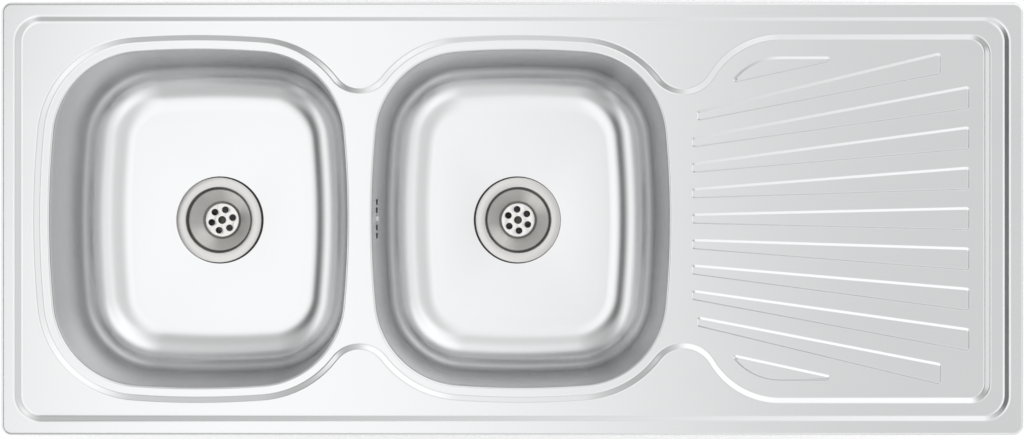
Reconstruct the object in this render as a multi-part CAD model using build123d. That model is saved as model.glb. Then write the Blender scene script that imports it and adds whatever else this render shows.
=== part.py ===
"""Double bowl kitchen sink with drainer, inset type, with its wastes, overflow and fixing clamps.

Millimetres. The origin is the middle of the sink's outline in the plane of the worktop, where the
rim seal lies. +X runs towards the drainer, +Y towards the rear edge, +Z up.
"""
from build123d import *
import math
import os

os.makedirs("parts", exist_ok=True)

# ---------------------------------------------------------------- outline and sheet
LENGTH = 1180.0  # outer edge to outer edge, along X
WIDTH = 500.0  # outer edge to outer edge, along Y
SHEET = 0.8  # thickness of the pressed sheet
OUTER_CORNER = 12.0  # corner radius of the outer edge
EDGE_ROLL = 4.0  # roll of the turned-down outer edge

# ---------------------------------------------------------------- levels of the pressed surface
RIM_TOP = 6.0  # flat of the rim above the worktop
STEP_DROP = 3.0  # from the rim down to the band inside it
SINK_DROP = 4.0  # from the band down to the sunk floor round bowls and drainer

# ---------------------------------------------------------------- rim step, seen from above
RIM_FLAT = 16.5  # outer edge to the top of the rim step
STEP_RUN = 6.3  # width of the sloping step
STEP_CORNER = 30.0  # corner radius at the top of the step
STEP_ROUND = 8.0  # rounding of both bends of the step

# ---------------------------------------------------------------- bowls
BOWL_LENGTH = 344.0  # opening along X
BOWL_CORNER = 101.0  # corner radius of the opening
END_BOW = 1066.0  # radius of the gently bowed left and right sides
SIDE_BOW = 1014.0  # radius of the gently bowed front and rear sides
BOWL_GAP = 29.2  # between the two openings
LEFT_MARGIN = 54.5  # outer edge to the left opening
BOWL_BAND = 15.0  # flat band between rim step and contour, in front of and behind the bowls
BOWL_DEPTH = 142.0  # from the weld down to the bowl floor
BOWL_DRAFT = 5.0  # slope of the walls, degrees
FLOOR_ROUND = 52.0  # rounding between wall and floor
MOUTH_ROLL = 3.0  # roll of the deck into the opening
LIP = 4.0  # straight lip below the roll, down to the weld

# ---------------------------------------------------------------- sunk contour
SINK_RUN = 6.0  # width of its sloping side
LEDGE = 11.2  # from the foot of the slope to the opening
WAIST_BOWLS = 36.0  # radius where the contour dips between the bowls
WAIST_DRAINER = 38.0  # radius where it dips before the drainer
SHOULDER = 92.0  # radius where it widens to the drainer
DRAINER_INSET = 40.0  # middle of the slope to the outer edge, front and rear
END_INSET = 41.0  # the same at the drainer's end
DRAINER_CORNER = 20.0
SINK_ROUND = 4.0  # rounding of both bends of the slope

# ---------------------------------------------------------------- drainer ribs
RIBS = 9
RIB_RISE = 2.0
RIB_FLANK = 50.0  # lean of a rib's sides from upright, degrees
RIB_START = 25.3  # right opening to the inner ends of the ribs
RIB_STAGGER = 6.0  # the outermost ribs start that much further out
RIB_END = 61.0  # outer ends of the ribs to the outer edge
RIB_SHORT = 33.0  # the outermost ribs end that much sooner
RIB_NARROW = 12.0  # width at the inner end
RIB_WIDE = 27.0  # width at the outer end
RIB_CORNER = 4.5
FAN_INNER = 92.8  # outermost rib line to the contour at the inner ends
FAN_OUTER = 22.8  # the same at the outer ends
LEAF_INSET = 22.5  # leaf-shaped rib to the contour
LEAF_SPACING = 29.0  # its straight side to the outermost rib line
LEAF_BLUNT = 6.5  # width of its blunt end
LEAF_CORNER = 3.0

# ---------------------------------------------------------------- wastes
WASTE_BACK_X = 2.5  # middle of the waste left of the bowl's middle
WASTE_BACK_Y = 1.5  # and in front of it
WASTE_HOLE = 45.0  # radius of the hole in the bowl floor
FLANGE_R = 53.2
GASKET = 2.0  # thickness of the ring under the flange
GASKET_PROUD = 1.2  # how far that ring is wider than the flange
GASKET_SLIP = 1.0  # how far it has slipped sideways
CUP_SHEET = 1.0
CUP_SHOULDER = 41.3  # radius inside the flat flange
CUP_STEP = 8.0  # steep step down inside the flange
CUP_LEDGE = 1.0  # flat between the step and the cone
CUP_MOUTH = 38.0  # radius at the top of the cone
CUP_FOOT = 23.5  # radius at the foot of the cone
CUP_DEPTH = 24.0  # flange top to the perforated disc
DISC_R = 21.5  # radius of the raised perforated disc
DISC_RISE = 0.8
DRAIN_HOLES = 6
DRAIN_HOLE = 4.1  # radius
DRAIN_PITCH = 13.5  # radius of the circle of holes
LEFT_TURN = 17.0  # how far the left pattern is turned clockwise, degrees
RIGHT_TURN = -5.0
WASTE_SCREW = 3.0  # radius, M6
SCREW_HEAD = 5.0  # radius of its head
SCREW_HEAD_HEIGHT = 1.8
SCREW_LENGTH = 12.0
RECESS = 0.7  # share of a cross-head screw's head that the cross takes
FIT = 0.05  # radial running clearance of every screw in its hole
BODY_GASKET = 3.0
BODY_FLANGE = 57.0  # radius
BODY_FLANGE_HEIGHT = 4.0
BODY_WALL = 2.5
BODY_INSIDE = 43.5  # radius inside the moulded body, below the flange
BODY_DEEP = 34.0  # height of the wide part
FUNNEL = 14.0  # height of the funnel below it
TAIL_R = 23.9  # threaded tail, G 1 1/2
TAIL_LENGTH = 38.0
TAIL_WALL = 3.4
SPIDER_ARMS = 3
SPIDER_ARM = 2.5  # thickness of an arm
SPIDER_HEIGHT = 10.0
SPIDER_GAP = 0.5  # below the cup
BOSS_R = 8.0
INSERT_R = 5.0
INSERT_HEIGHT = 9.0
INLET_DROP = 20.0  # top of the body's wide part to the middle of the overflow inlet
INLET_REACH = 20.0  # how far the inlet stands out of the body

# ---------------------------------------------------------------- overflow
OVERFLOW_DROP = 30.0  # weld to the middle of the slots
SLOT_OFFSETS = (-19.9, -10.0, 10.0, 19.9)
SLOT_WIDTH = 6.5
SLOT_HEIGHT = 15.0
CHAMBER_LENGTH = 64.0
CHAMBER_HEIGHT = 34.0
CHAMBER_REACH = 26.0  # out from the bowl wall
CHAMBER_WALL = 2.0
CHAMBER_CORNER = 5.0
CHAMBER_BOSS = 5.0  # radius of the boss for the screw
OVERFLOW_GASKET = 1.5
GASKET_BAND = 3.0  # width of its band
OVERFLOW_SCREW = 2.5  # radius, M5
OVERFLOW_SCREW_LENGTH = 18.0
OVERFLOW_HEAD = 4.6
OVERFLOW_HEAD_HEIGHT = 2.4
PIPE_R = 10.0
PIPE_WALL = 1.5
PIPE_BEND = 32.0
PIPE_ENGAGED = 12.0  # length of pipe inside a socket
SOCKET_WALL = 2.2
NUT_R = 15.2
NUT_HEIGHT = 13.0
NUT_LIP = 2.0
SEAL_RING = 2.5
NUT_GRIPS = 12
NUT_GRIP = 1.7  # radius of each groove

# ---------------------------------------------------------------- seal, pads, earth tag
SEAL_INSET = 4.2  # from the outer edge
SEAL_WIDTH = 10.0
PAD = 2.0
DRAINER_PAD_ENDS = 26.0  # ends of the ribs to the pad
DRAINER_PAD_SIDES = 60.0  # contour to the pad, front and rear
BOWL_PAD_MARGIN = 5.0  # foot of the floor's rounding to the edge of the pad below it
PAD_CORNER = 12.0
PAD_CLEAR = 4.0  # round the waste body
BODY_GASKET_INSET = 2.0  # waste body's flange to the edge of the ring on it
TAG_WIDTH = 12.0
TAG_DROP = 22.0
TAG_SHEET = 1.5
TAG_HOLE = 2.6

# ---------------------------------------------------------------- fixing clamps
CLAMPS_A_SIDE = 3
CLAMP_END = 140.0  # outer edge to the outermost clamps of a side
BRACKET_SHEET = 1.5
BRACKET_WIDTH = 10.0
BRACKET_FOOT = 10.0
BRACKET_SPAN = 30.0
BRACKET_DROP = 28.0  # deck to the web's upper face
BRACKET_NUT_R = 4.6
BRACKET_NUT = 5.0  # height of the threaded collar on the web
CLAMP_SCREW = 2.5  # radius, M5
SCREW_SPARE = 1.0  # how far the screw stands through its nut when open
SCREW_TRAVEL = 18.0
WORKTOP_MOST = 42.0  # thickest worktop the open clamp takes
JAW_SHEET = 2.5
JAW_WIDTH = 14.0
JAW_REACH = 36.0  # screw to the gripping edge
JAW_HEEL = 12.0
JAW_TIP = 8.0  # height of the turned-up gripping edge
JAW_CORNER = 4.6  # corner radius of the heel
JAW_NOTCH = 2.8  # depth of the notch between its two teeth
JAW_RIB = 6.4  # height of the rib behind the edge
HEAD_R = 5.2
HEAD_HEIGHT = 4.0
HEAD_FLANGE_R = 7.0
HEAD_FLANGE = 1.2
COLLAR_R = 4.0
COLLAR = 1.5
JAW_PLAY = 0.15  # up and down between flange and collar
SOCKET_KEY = 4.0  # across the flats of the key's socket
KEY_DEPTH = 2.8
SCREW_POINT = 0.5  # chamfer of the upper end

# ---------------------------------------------------------------- derived places
CUT = 30.0  # spare length of cutting tools
NEAR = 0.01  # edges this close to a level lie in it
HANGING = (Align.CENTER, Align.CENTER, Align.MAX)
LAST_RIB = (RIBS - 1) / 2  # number of the outermost rib, counted from the middle one
STEP_INSET = RIM_FLAT + STEP_RUN
SLOPE_MIDDLE = LEDGE + SINK_RUN / 2  # opening to the middle of the contour's slope
BAND_TOP = RIM_TOP - STEP_DROP
BAND_UNDER = BAND_TOP - SHEET
FLOOR_TOP = BAND_TOP - SINK_DROP
WELD_Z = FLOOR_TOP - MOUTH_ROLL - LIP
BOWL_FLOOR = WELD_Z - BOWL_DEPTH
HALF_L = BOWL_LENGTH / 2
HALF_W = WIDTH / 2 - STEP_INSET - BOWL_BAND - SINK_RUN - LEDGE
LEFT_X = -LENGTH / 2 + LEFT_MARGIN + HALF_L
RIGHT_X = LEFT_X + BOWL_LENGTH + BOWL_GAP
DRAINER_Y = WIDTH / 2 - DRAINER_INSET
DRAINER_X = LENGTH / 2 - END_INSET
RIBS_FROM = RIGHT_X + HALF_L + RIB_START
RIBS_TO = LENGTH / 2 - RIB_END

FLANGE_TOP = BOWL_FLOOR + GASKET + CUP_SHEET
CUP_BOTTOM = FLANGE_TOP - CUP_DEPTH
DISC_TOP = CUP_BOTTOM + DISC_RISE
BODY_TOP = BOWL_FLOOR - SHEET - BODY_GASKET
BOSS_TOP = DISC_TOP - CUP_SHEET
SOCKET_R = PIPE_R + FIT + SOCKET_WALL
SOCKET_DEPTH = PIPE_ENGAGED + SOCKET_WALL
INLET_Z = BODY_TOP - INLET_DROP
INLET_FACE = BODY_INSIDE + BODY_WALL + INLET_REACH
OVERFLOW_Z = WELD_Z - OVERFLOW_DROP
CHAMBER_FOOT = OVERFLOW_Z - CHAMBER_HEIGHT / 2
PIPE_X = (LEFT_X + RIGHT_X) / 2

CONTOUR_REAR = max(DRAINER_Y, HALF_W + SLOPE_MIDDLE) + SINK_RUN / 2
CONTOUR_RIGHT = DRAINER_X + SINK_RUN / 2
CONTOUR_LEFT = LEFT_X - HALF_L - SLOPE_MIDDLE - SINK_RUN / 2
BAND_REAR = (CONTOUR_REAR + WIDTH / 2 - STEP_INSET) / 2  # middle of the band behind
BAND_RIGHT = (CONTOUR_RIGHT + LENGTH / 2 - STEP_INSET) / 2
BAND_LEFT = (CONTOUR_LEFT - LENGTH / 2 + STEP_INSET) / 2
CLAMP_PITCH = 2 * (LENGTH / 2 - CLAMP_END) / (CLAMPS_A_SIDE - 1)
WEB_TOP = BAND_UNDER - BRACKET_DROP
JAW_LOW = -WORKTOP_MOST - JAW_TIP - JAW_SHEET

# the corner arc of an opening touches both bowed sides, whose middles lie here
END_BOW_X = HALF_L - END_BOW
SIDE_BOW_Y = HALF_W - SIDE_BOW


def corner_centre():
    """Middle of the opening's corner arc, from the bowl's own middle."""
    x1, y2 = END_BOW_X, SIDE_BOW_Y
    r1, r2 = END_BOW - BOWL_CORNER, SIDE_BOW - BOWL_CORNER
    gap = math.hypot(x1, y2)
    along = (r1 * r1 - r2 * r2 + gap * gap) / (2 * gap)
    across = math.sqrt(r1 * r1 - along * along)
    ux, uy = -x1 / gap, y2 / gap
    ends = [(x1 + ux * along + s * uy * across, uy * along - s * ux * across) for s in (1, -1)]
    return max(ends)


CORNER_X, CORNER_Y = corner_centre()


# ---------------------------------------------------------------- outlines made of touching arcs
def arc(x, y, radius):
    """One arc of an outline; a negative radius bends inwards."""
    return ("arc", x, y, radius)


def side(nx, ny, distance):
    """One straight side, with its outward normal and distance from the origin."""
    return ("side", nx, ny, distance)


def grown(element, grow):
    kind, a, b, size = element
    return (kind, a, b, size + grow)


def meeting(first, second):
    """The point where two neighbours of an outline touch."""
    if first[0] == "side":
        first, second = second, first
    _, x, y, radius = first
    kind, a, b, size = second
    if kind == "side":
        return (x + radius * a, y + radius * b)
    share = radius / (radius - size)
    return (x + share * (a - x), y + share * (b - y))


def outline_face(elements, grow=0.0, z=0.0):
    """A face inside a closed chain of arcs and straight sides, moved outwards by grow."""
    chain = [grown(e, grow) for e in elements]
    joints = [meeting(e, chain[(i + 1) % len(chain)]) for i, e in enumerate(chain)]
    edges = []
    for i, (kind, x, y, radius) in enumerate(chain):
        start, end = joints[i - 1], joints[i]
        if kind == "side":
            edges.append(Line(start, end))
            continue
        mx = (start[0] + end[0]) / 2 - x
        my = (start[1] + end[1]) / 2 - y
        reach = abs(radius) / math.hypot(mx, my)
        edges.append(ThreePointArc(start, (x + mx * reach, y + my * reach), end))
    return Pos(0, 0, z) * make_face(Curve() + edges)


def mirrored(element):
    kind, a, b, size = element
    return (kind, a, -b, size)


def bowl_elements(x):
    """Opening of a bowl, clockwise from its left side."""
    left = arc(x - END_BOW_X, 0, END_BOW)
    top = arc(x, SIDE_BOW_Y, SIDE_BOW)
    right = arc(x + END_BOW_X, 0, END_BOW)
    top_left = arc(x - CORNER_X, CORNER_Y, BOWL_CORNER)
    top_right = arc(x + CORNER_X, CORNER_Y, BOWL_CORNER)
    return [left, top_left, top, top_right, right, mirrored(top_right), mirrored(top), mirrored(top_left)]


def contour_elements():
    """Middle of the contour's slope: round both bowls, in at the waists, and round the drainer."""
    left = [grown(e, SLOPE_MIDDLE) for e in bowl_elements(LEFT_X)]
    right = [grown(e, SLOPE_MIDDLE) for e in bowl_elements(RIGHT_X)]
    corner = BOWL_CORNER + SLOPE_MIDDLE
    middle_x = (LEFT_X + RIGHT_X) / 2
    run = middle_x - (LEFT_X + CORNER_X)
    climb = math.sqrt((corner + WAIST_BOWLS) ** 2 - run ** 2)
    lean = math.atan2(climb, run)
    waist = arc(middle_x, CORNER_Y + climb, -WAIST_BOWLS)
    reach = corner + WAIST_DRAINER
    waist_x = RIGHT_X + CORNER_X + reach * math.cos(lean)
    waist_y = CORNER_Y + reach * math.sin(lean)
    drainer_waist = arc(waist_x, waist_y, -WAIST_DRAINER)
    fall = waist_y - (DRAINER_Y - SHOULDER)
    shoulder_x = waist_x + math.sqrt((WAIST_DRAINER + SHOULDER) ** 2 - fall ** 2)
    shoulder = arc(shoulder_x, DRAINER_Y - SHOULDER, SHOULDER)
    corner_arc = arc(DRAINER_X - DRAINER_CORNER, DRAINER_Y - DRAINER_CORNER, DRAINER_CORNER)
    top = left[:4] + [waist] + right[1:4] + [drainer_waist, shoulder, side(0, 1, DRAINER_Y), corner_arc]
    bottom = [mirrored(e) for e in reversed(top[1:])]
    return top + [side(1, 0, DRAINER_X)] + bottom, shoulder


CONTOUR, SHOULDER_ARC = contour_elements()


def rounded_plate(length, width, radius, height, z, x=0.0, y=0.0):
    return extrude(Pos(x, y, z) * RectangleRounded(length, width, radius), height)


def disc(radius, height, z=0.0, x=0.0, y=0.0):
    """An upright cylinder standing on z."""
    return Pos(x, y, z) * Cylinder(radius, height, align=(Align.CENTER, Align.CENTER, Align.MIN))


def edges_at(shape, z, half_length=math.inf, half_width=math.inf, x=0.0):
    """Edges that lie in the plane z, within a distance of x along X and of the middle along Y."""
    level = shape.edges().filter_by_position(Axis.Z, z - NEAR, z + NEAR)
    middles = [(e, e.center()) for e in level]
    return ShapeList([e for e, c in middles if abs(c.X - x) < half_length and abs(c.Y) < half_width])


# ---------------------------------------------------------------- the pressed deck
FAN_SLOPE = (FAN_INNER - FAN_OUTER) / (RIBS_TO - RIBS_FROM)  # lean of the outermost rib line


def fan_line(k, x):
    """Y of the fan's k-th line at x, counted from the middle one."""
    return k / LAST_RIB * (DRAINER_Y - FAN_INNER + FAN_SLOPE * (x - RIBS_FROM))


def wedge_face(k):
    """Foot outline of one wedge-shaped rib."""
    outermost = abs(k) == LAST_RIB
    x0 = RIBS_FROM + (RIB_STAGGER if outermost else 0)
    x1 = RIBS_TO - (RIB_SHORT if outermost else 0)
    y0, y1 = fan_line(k, x0), fan_line(k, x1)
    narrow = RIB_NARROW / 2
    wide = narrow + (RIB_WIDE - RIB_NARROW) / 2 * (x1 - RIBS_FROM) / (RIBS_TO - RIBS_FROM)
    corners = [(x0, y0 - narrow), (x1, y1 - wide), (x1, y1 + wide), (x0, y0 + narrow)]
    wedge = make_face(Polyline(*corners, close=True))
    return fillet(wedge.vertices(), RIB_CORNER)


def leaf_face():
    """Foot outline of the rear leaf-shaped rib: parallel to the contour outside, to the fan inside."""
    _, x, y, shoulder = SHOULDER_ARC
    radius = shoulder - LEAF_INSET
    top = DRAINER_Y - LEAF_INSET
    end = RIBS_FROM + (FAN_INNER - LEAF_INSET - LEAF_BLUNT - LEAF_SPACING) / FAN_SLOPE
    start = x - radius
    foot = fan_line(LAST_RIB, start) + LEAF_SPACING
    corners = [(start, foot), (end, top - LEAF_BLUNT), (end, top), (start, top)]
    inside = Pos(x, y) * (Circle(radius) + Rectangle(DRAINER_X - x, radius, align=Align.MIN))
    leaf = (inside & make_face(Polyline(*corners, close=True))).face()
    sharp = leaf.vertices().filter_by(lambda v: abs(v.X - x) > NEAR)
    return fillet(sharp, LEAF_CORNER)


def rib_faces():
    wedges = [wedge_face(i - LAST_RIB) for i in range(RIBS)]
    leaf = leaf_face()
    return wedges + [leaf, mirror(leaf, Plane.XZ)]


RIB_FACES = rib_faces()


def sunk(mass, foot, drop, run, bend, half_length, half_width):
    """Press a flat-bottomed hollow with sloping sides into a mass and round both bends of the slope."""
    low = foot.center().Z
    mass -= extrude(foot, drop, taper=-math.degrees(math.atan(run / drop)))
    bends = [edges_at(mass, z, half_length, half_width) for z in (low, low + drop)]
    return fillet(bends[0] + bends[1], bend)


def pressed_mass(drop, inset):
    """Everything below the deck's surface; the lower face is the same surface, dropped by the sheet."""
    low = WELD_Z - inset
    rim, band, floor = RIM_TOP - drop, BAND_TOP - drop, FLOOR_TOP - drop
    mass = rounded_plate(LENGTH - 2 * inset, WIDTH - 2 * inset, OUTER_CORNER - inset, rim - low, low)
    mass = fillet(edges_at(mass, rim), EDGE_ROLL - inset)
    step_foot = RectangleRounded(LENGTH - 2 * STEP_INSET, WIDTH - 2 * STEP_INSET, STEP_CORNER - STEP_RUN)
    reach = RIM_FLAT - STEP_RUN / 2
    step = (STEP_DROP, STEP_RUN, STEP_ROUND, LENGTH / 2 - reach, WIDTH / 2 - reach)
    mass = sunk(mass, Pos(0, 0, band) * step_foot, *step)
    contour_foot = outline_face(CONTOUR, -SINK_RUN / 2, floor)
    sink = (SINK_DROP, SINK_RUN, SINK_ROUND, LENGTH / 2 - STEP_INSET, WIDTH / 2 - STEP_INSET)
    mass = sunk(mass, contour_foot, *sink)
    for x in (LEFT_X, RIGHT_X):
        mass -= extrude(outline_face(bowl_elements(x), inset, low), floor - low + CUT)
        mouth = edges_at(mass, floor, HALF_L + LEDGE / 2, HALF_W + LEDGE / 2, x)
        mass = fillet(mouth, MOUTH_ROLL - inset)
    for face in RIB_FACES:
        mass += extrude(Pos(0, 0, floor) * face, RIB_RISE, taper=RIB_FLANK)
    return mass


def below(length, width, z):
    """A block that hangs down from z."""
    return Pos(0, 0, z) * Box(length, width, CUT, align=HANGING)


def deck():
    """The deck: both faces of the sheet, the turned-down edge and the lips round the openings."""
    sheet = pressed_mass(0, 0) - pressed_mass(SHEET, SHEET)
    edge = below(2 * LENGTH, 2 * WIDTH, 0) - below(LENGTH - 2 * RIM_FLAT, WIDTH - 2 * RIM_FLAT, 0)
    return sheet - edge - below(LENGTH, WIDTH, WELD_Z)


# ---------------------------------------------------------------- bowls
def bowl_mass(x, grow):
    """The inside of a bowl, or its outside when grow is the sheet."""
    top = outline_face(bowl_elements(x), grow, WELD_Z)
    mass = extrude(top, -(BOWL_DEPTH + grow), taper=BOWL_DRAFT)
    return fillet(edges_at(mass, BOWL_FLOOR - grow), FLOOR_ROUND + grow)


def at_wall(z, grow=0.0):
    """X of the right bowl's left wall at a height, moved outwards by grow."""
    return RIGHT_X - HALF_L - grow + (WELD_Z - z) * math.tan(math.radians(BOWL_DRAFT))


def square_to_wall(solid):
    """Turn a solid that stands on the origin so that it points into the right bowl, square to its wall."""
    return Pos(at_wall(OVERFLOW_Z), 0, OVERFLOW_Z) * Rot(0, 90 - BOWL_DRAFT, 0) * solid


def bowl(x, overflow):
    shell = bowl_mass(x, SHEET) - bowl_mass(x, 0)
    wx, wy = waste_place(x)
    shell -= disc(WASTE_HOLE, 4 * SHEET, BOWL_FLOOR - 2 * SHEET, wx, wy)
    if overflow:
        shell -= overflow_cuts(CHAMBER_REACH / 2)
    return shell


# ---------------------------------------------------------------- wastes
def waste_place(x):
    return x - WASTE_BACK_X, -WASTE_BACK_Y


def ring(outer, inner, height, z, x=0.0, y=0.0):
    return disc(outer, height, z, x, y) - disc(inner, height, z, x, y)


def turned(points, x, y):
    """A solid of revolution about the upright line through x, y; points are (radius, z)."""
    profile = make_face(Polyline(*[(r, 0, z) for r, z in points], close=True))
    return Pos(x, y, 0) * revolve(profile, Axis.Z)


def under_slope(run, fall):
    """How far out the lower side of a sloping part of the cup lies, one sheet below its upper side."""
    return CUP_SHEET * (math.hypot(run, fall) - run) / fall


def strainer_cup(x, y, turn):
    """Pressed cup: flange, steep step, cone and a raised disc with holes round the screw."""
    step = FLANGE_TOP - CUP_STEP
    flank = under_slope(CUP_MOUTH - CUP_FOOT, step - CUP_BOTTOM)
    shoulder = under_slope(CUP_SHOULDER - CUP_MOUTH - CUP_LEDGE, CUP_STEP)
    upper = [
        (FLANGE_R, FLANGE_TOP - CUP_SHEET),
        (FLANGE_R, FLANGE_TOP - CUP_SHEET / 2),
        (FLANGE_R - CUP_SHEET, FLANGE_TOP),
        (CUP_SHOULDER, FLANGE_TOP),
        (CUP_MOUTH + CUP_LEDGE, step),
        (CUP_MOUTH, step),
        (CUP_FOOT, CUP_BOTTOM),
        (DISC_R, CUP_BOTTOM),
        (DISC_R - DISC_RISE, DISC_TOP),
        (0, DISC_TOP),
    ]
    lower = [
        (0, BOSS_TOP),
        (DISC_R - DISC_RISE - CUP_SHEET / 2, BOSS_TOP),
        (DISC_R - CUP_SHEET / 2, CUP_BOTTOM - CUP_SHEET),
        (CUP_FOOT + flank, CUP_BOTTOM - CUP_SHEET),
        (CUP_MOUTH + flank, step - CUP_SHEET),
        (CUP_MOUTH + CUP_LEDGE + shoulder, step - CUP_SHEET),
        (CUP_SHOULDER + shoulder, FLANGE_TOP - CUP_SHEET),
    ]
    cup = turned(upper + lower, x, y)
    under = BOSS_TOP - CUP_SHEET
    for i in range(DRAIN_HOLES):
        angle = math.radians(90 - turn + i * 360 / DRAIN_HOLES)
        hx, hy = x + DRAIN_PITCH * math.cos(angle), y + DRAIN_PITCH * math.sin(angle)
        cup -= disc(DRAIN_HOLE, 3 * CUP_SHEET, under, hx, hy)
    return cup - disc(WASTE_SCREW + FIT, 3 * CUP_SHEET, under, x, y)


def waste_shell(x, y):
    """The moulded body without its spider: flange, wide chamber, funnel and threaded tail."""
    deep = BODY_TOP - BODY_DEEP
    throat = deep - FUNNEL
    wide = BODY_INSIDE + BODY_WALL
    bore = TAIL_R - TAIL_WALL
    outside = [
        (BODY_FLANGE, BODY_TOP),
        (BODY_FLANGE, BODY_TOP - BODY_FLANGE_HEIGHT),
        (wide, BODY_TOP - BODY_FLANGE_HEIGHT),
        (wide, deep),
        (TAIL_R, throat),
        (TAIL_R, throat - TAIL_LENGTH),
    ]
    inside = [
        (bore, throat - TAIL_LENGTH),
        (bore, throat),
        (BODY_INSIDE, deep + BODY_WALL / 2),
        (BODY_INSIDE, BODY_TOP),
    ]
    return turned(outside + inside, x, y)


def inlet_disc(radius, start, end, x, y):
    """A cylinder along the overflow inlet, between two distances from the middle of the waste."""
    return Pos(x, y, INLET_Z) * Rot(0, -90, 0) * disc(radius, end - start, start)


def waste_body(x, y, turn, inlet):
    """Moulded lower half, with a spider, its arms between the cup's holes, that holds the screw's insert."""
    body = waste_shell(x, y)
    arms_top = CUP_BOTTOM - CUP_SHEET - SPIDER_GAP
    arms_low = arms_top - SPIDER_HEIGHT
    arm_length = BODY_INSIDE + BODY_WALL / 2
    arm = Box(arm_length, SPIDER_ARM, SPIDER_HEIGHT, align=(Align.MIN, Align.CENTER, Align.MIN))
    first = 90 - turn + 180 / DRAIN_HOLES
    for i in range(SPIDER_ARMS):
        body += Pos(x, y, arms_low) * Rot(0, 0, first + i * 360 / SPIDER_ARMS) * arm
    body += disc(BOSS_R, BOSS_TOP - arms_low, arms_low, x, y)
    body -= disc(WASTE_SCREW + FIT, BOSS_TOP - arms_low, arms_low, x, y)
    body -= disc(INSERT_R, INSERT_HEIGHT, BOSS_TOP - INSERT_HEIGHT, x, y)
    if inlet:
        body += inlet_disc(SOCKET_R, arm_length, INLET_FACE, x, y)
        body -= inlet_disc(PIPE_R - PIPE_WALL, BODY_INSIDE - BODY_WALL, INLET_FACE, x, y)
        body -= inlet_disc(PIPE_R + FIT, INLET_FACE - PIPE_ENGAGED, INLET_FACE, x, y)
    return body


def cross_recess(radius, depth):
    """Cross slot for a screwdriver, sunk below the origin."""
    slot = Box(2 * radius, radius / 2, depth, align=HANGING)
    return slot + Rot(0, 0, 90) * slot


def cross_head_screw(radius, length, head_r, head_height):
    """A flat-headed screw that hangs down from the origin, the seat of its head."""
    screw = disc(radius, length, -length)
    head = disc(head_r, head_height)
    head = fillet(edges_at(head, head_height), head_height / 2)
    screw += head
    return screw - Pos(0, 0, head_height) * cross_recess(head_r * RECESS, head_height * RECESS)


# ---------------------------------------------------------------- overflow
def overflow_cuts(depth):
    """Slots and screw hole through the right bowl's left wall."""
    cuts = square_to_wall(Pos(0, 0, -depth / 2) * disc(OVERFLOW_SCREW + FIT, depth))
    slot = extrude(SlotOverall(SLOT_HEIGHT, SLOT_WIDTH), depth)
    for y in SLOT_OFFSETS:
        cuts += square_to_wall(Pos(0, y, -depth / 2) * slot)
    return cuts


def behind_wall(length, height, reach, inner=0.0):
    """A block behind the slots, rounded at its corners, from reach behind the wall to inside the bowl."""
    block = Box(reach + CUT, length, height, align=(Align.MIN, Align.CENTER, Align.CENTER))
    block = fillet(block.edges().filter_by(Axis.X), CHAMBER_CORNER - inner)
    return Pos(at_wall(OVERFLOW_Z) - reach, 0, OVERFLOW_Z) * block


def overflow_chamber():
    """Moulded box behind the slots, open towards the wall, with a screw boss and a socket below."""
    wall = CHAMBER_WALL
    inner_length, inner_height = CHAMBER_LENGTH - 2 * wall, CHAMBER_HEIGHT - 2 * wall
    middle_length, middle_height = CHAMBER_LENGTH - wall, CHAMBER_HEIGHT - wall
    box = behind_wall(CHAMBER_LENGTH, CHAMBER_HEIGHT, CHAMBER_REACH)
    box -= behind_wall(inner_length, inner_height, CHAMBER_REACH - wall, wall)
    boss = square_to_wall(Pos(0, 0, -CHAMBER_REACH) * disc(CHAMBER_BOSS, CHAMBER_REACH))
    box += boss & behind_wall(middle_length, middle_height, CHAMBER_REACH - wall / 2)
    box -= bowl_mass(RIGHT_X, SHEET + OVERFLOW_GASKET)
    foot = CHAMBER_FOOT - SOCKET_DEPTH
    box += disc(SOCKET_R, SOCKET_DEPTH, foot, PIPE_X, -WASTE_BACK_Y)
    box -= disc(PIPE_R - PIPE_WALL, SOCKET_DEPTH + 2 * wall, foot, PIPE_X, -WASTE_BACK_Y)
    box -= disc(PIPE_R + FIT, PIPE_ENGAGED, foot, PIPE_X, -WASTE_BACK_Y)
    screw_hole = disc(OVERFLOW_SCREW + FIT, OVERFLOW_SCREW_LENGTH, -OVERFLOW_SCREW_LENGTH)
    return box - square_to_wall(screw_hole)


def overflow_gasket():
    """Flat band between the chamber's edge and the bowl wall."""
    window_length, window_height = CHAMBER_LENGTH - 2 * GASKET_BAND, CHAMBER_HEIGHT - 2 * GASKET_BAND
    band = behind_wall(CHAMBER_LENGTH, CHAMBER_HEIGHT, CHAMBER_REACH)
    band -= behind_wall(window_length, window_height, 2 * CHAMBER_REACH, GASKET_BAND)
    return band & (bowl_mass(RIGHT_X, SHEET + OVERFLOW_GASKET) - bowl_mass(RIGHT_X, SHEET))


def overflow_pipe():
    """Rigid pipe: down between the bowls, one bend, and under the right bowl to the waste's inlet."""
    top = CHAMBER_FOOT - SOCKET_DEPTH + PIPE_ENGAGED
    wx, wy = waste_place(RIGHT_X)
    end = wx - INLET_FACE + PIPE_ENGAGED
    path = FilletPolyline((PIPE_X, wy, top), (PIPE_X, wy, INLET_Z), (end, wy, INLET_Z), radius=PIPE_BEND)
    section = Plane(origin=path @ 0, z_dir=path % 0)
    wide = sweep(section * Circle(PIPE_R), path)
    return wide - sweep(section * Circle(PIPE_R - PIPE_WALL), path)


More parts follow.
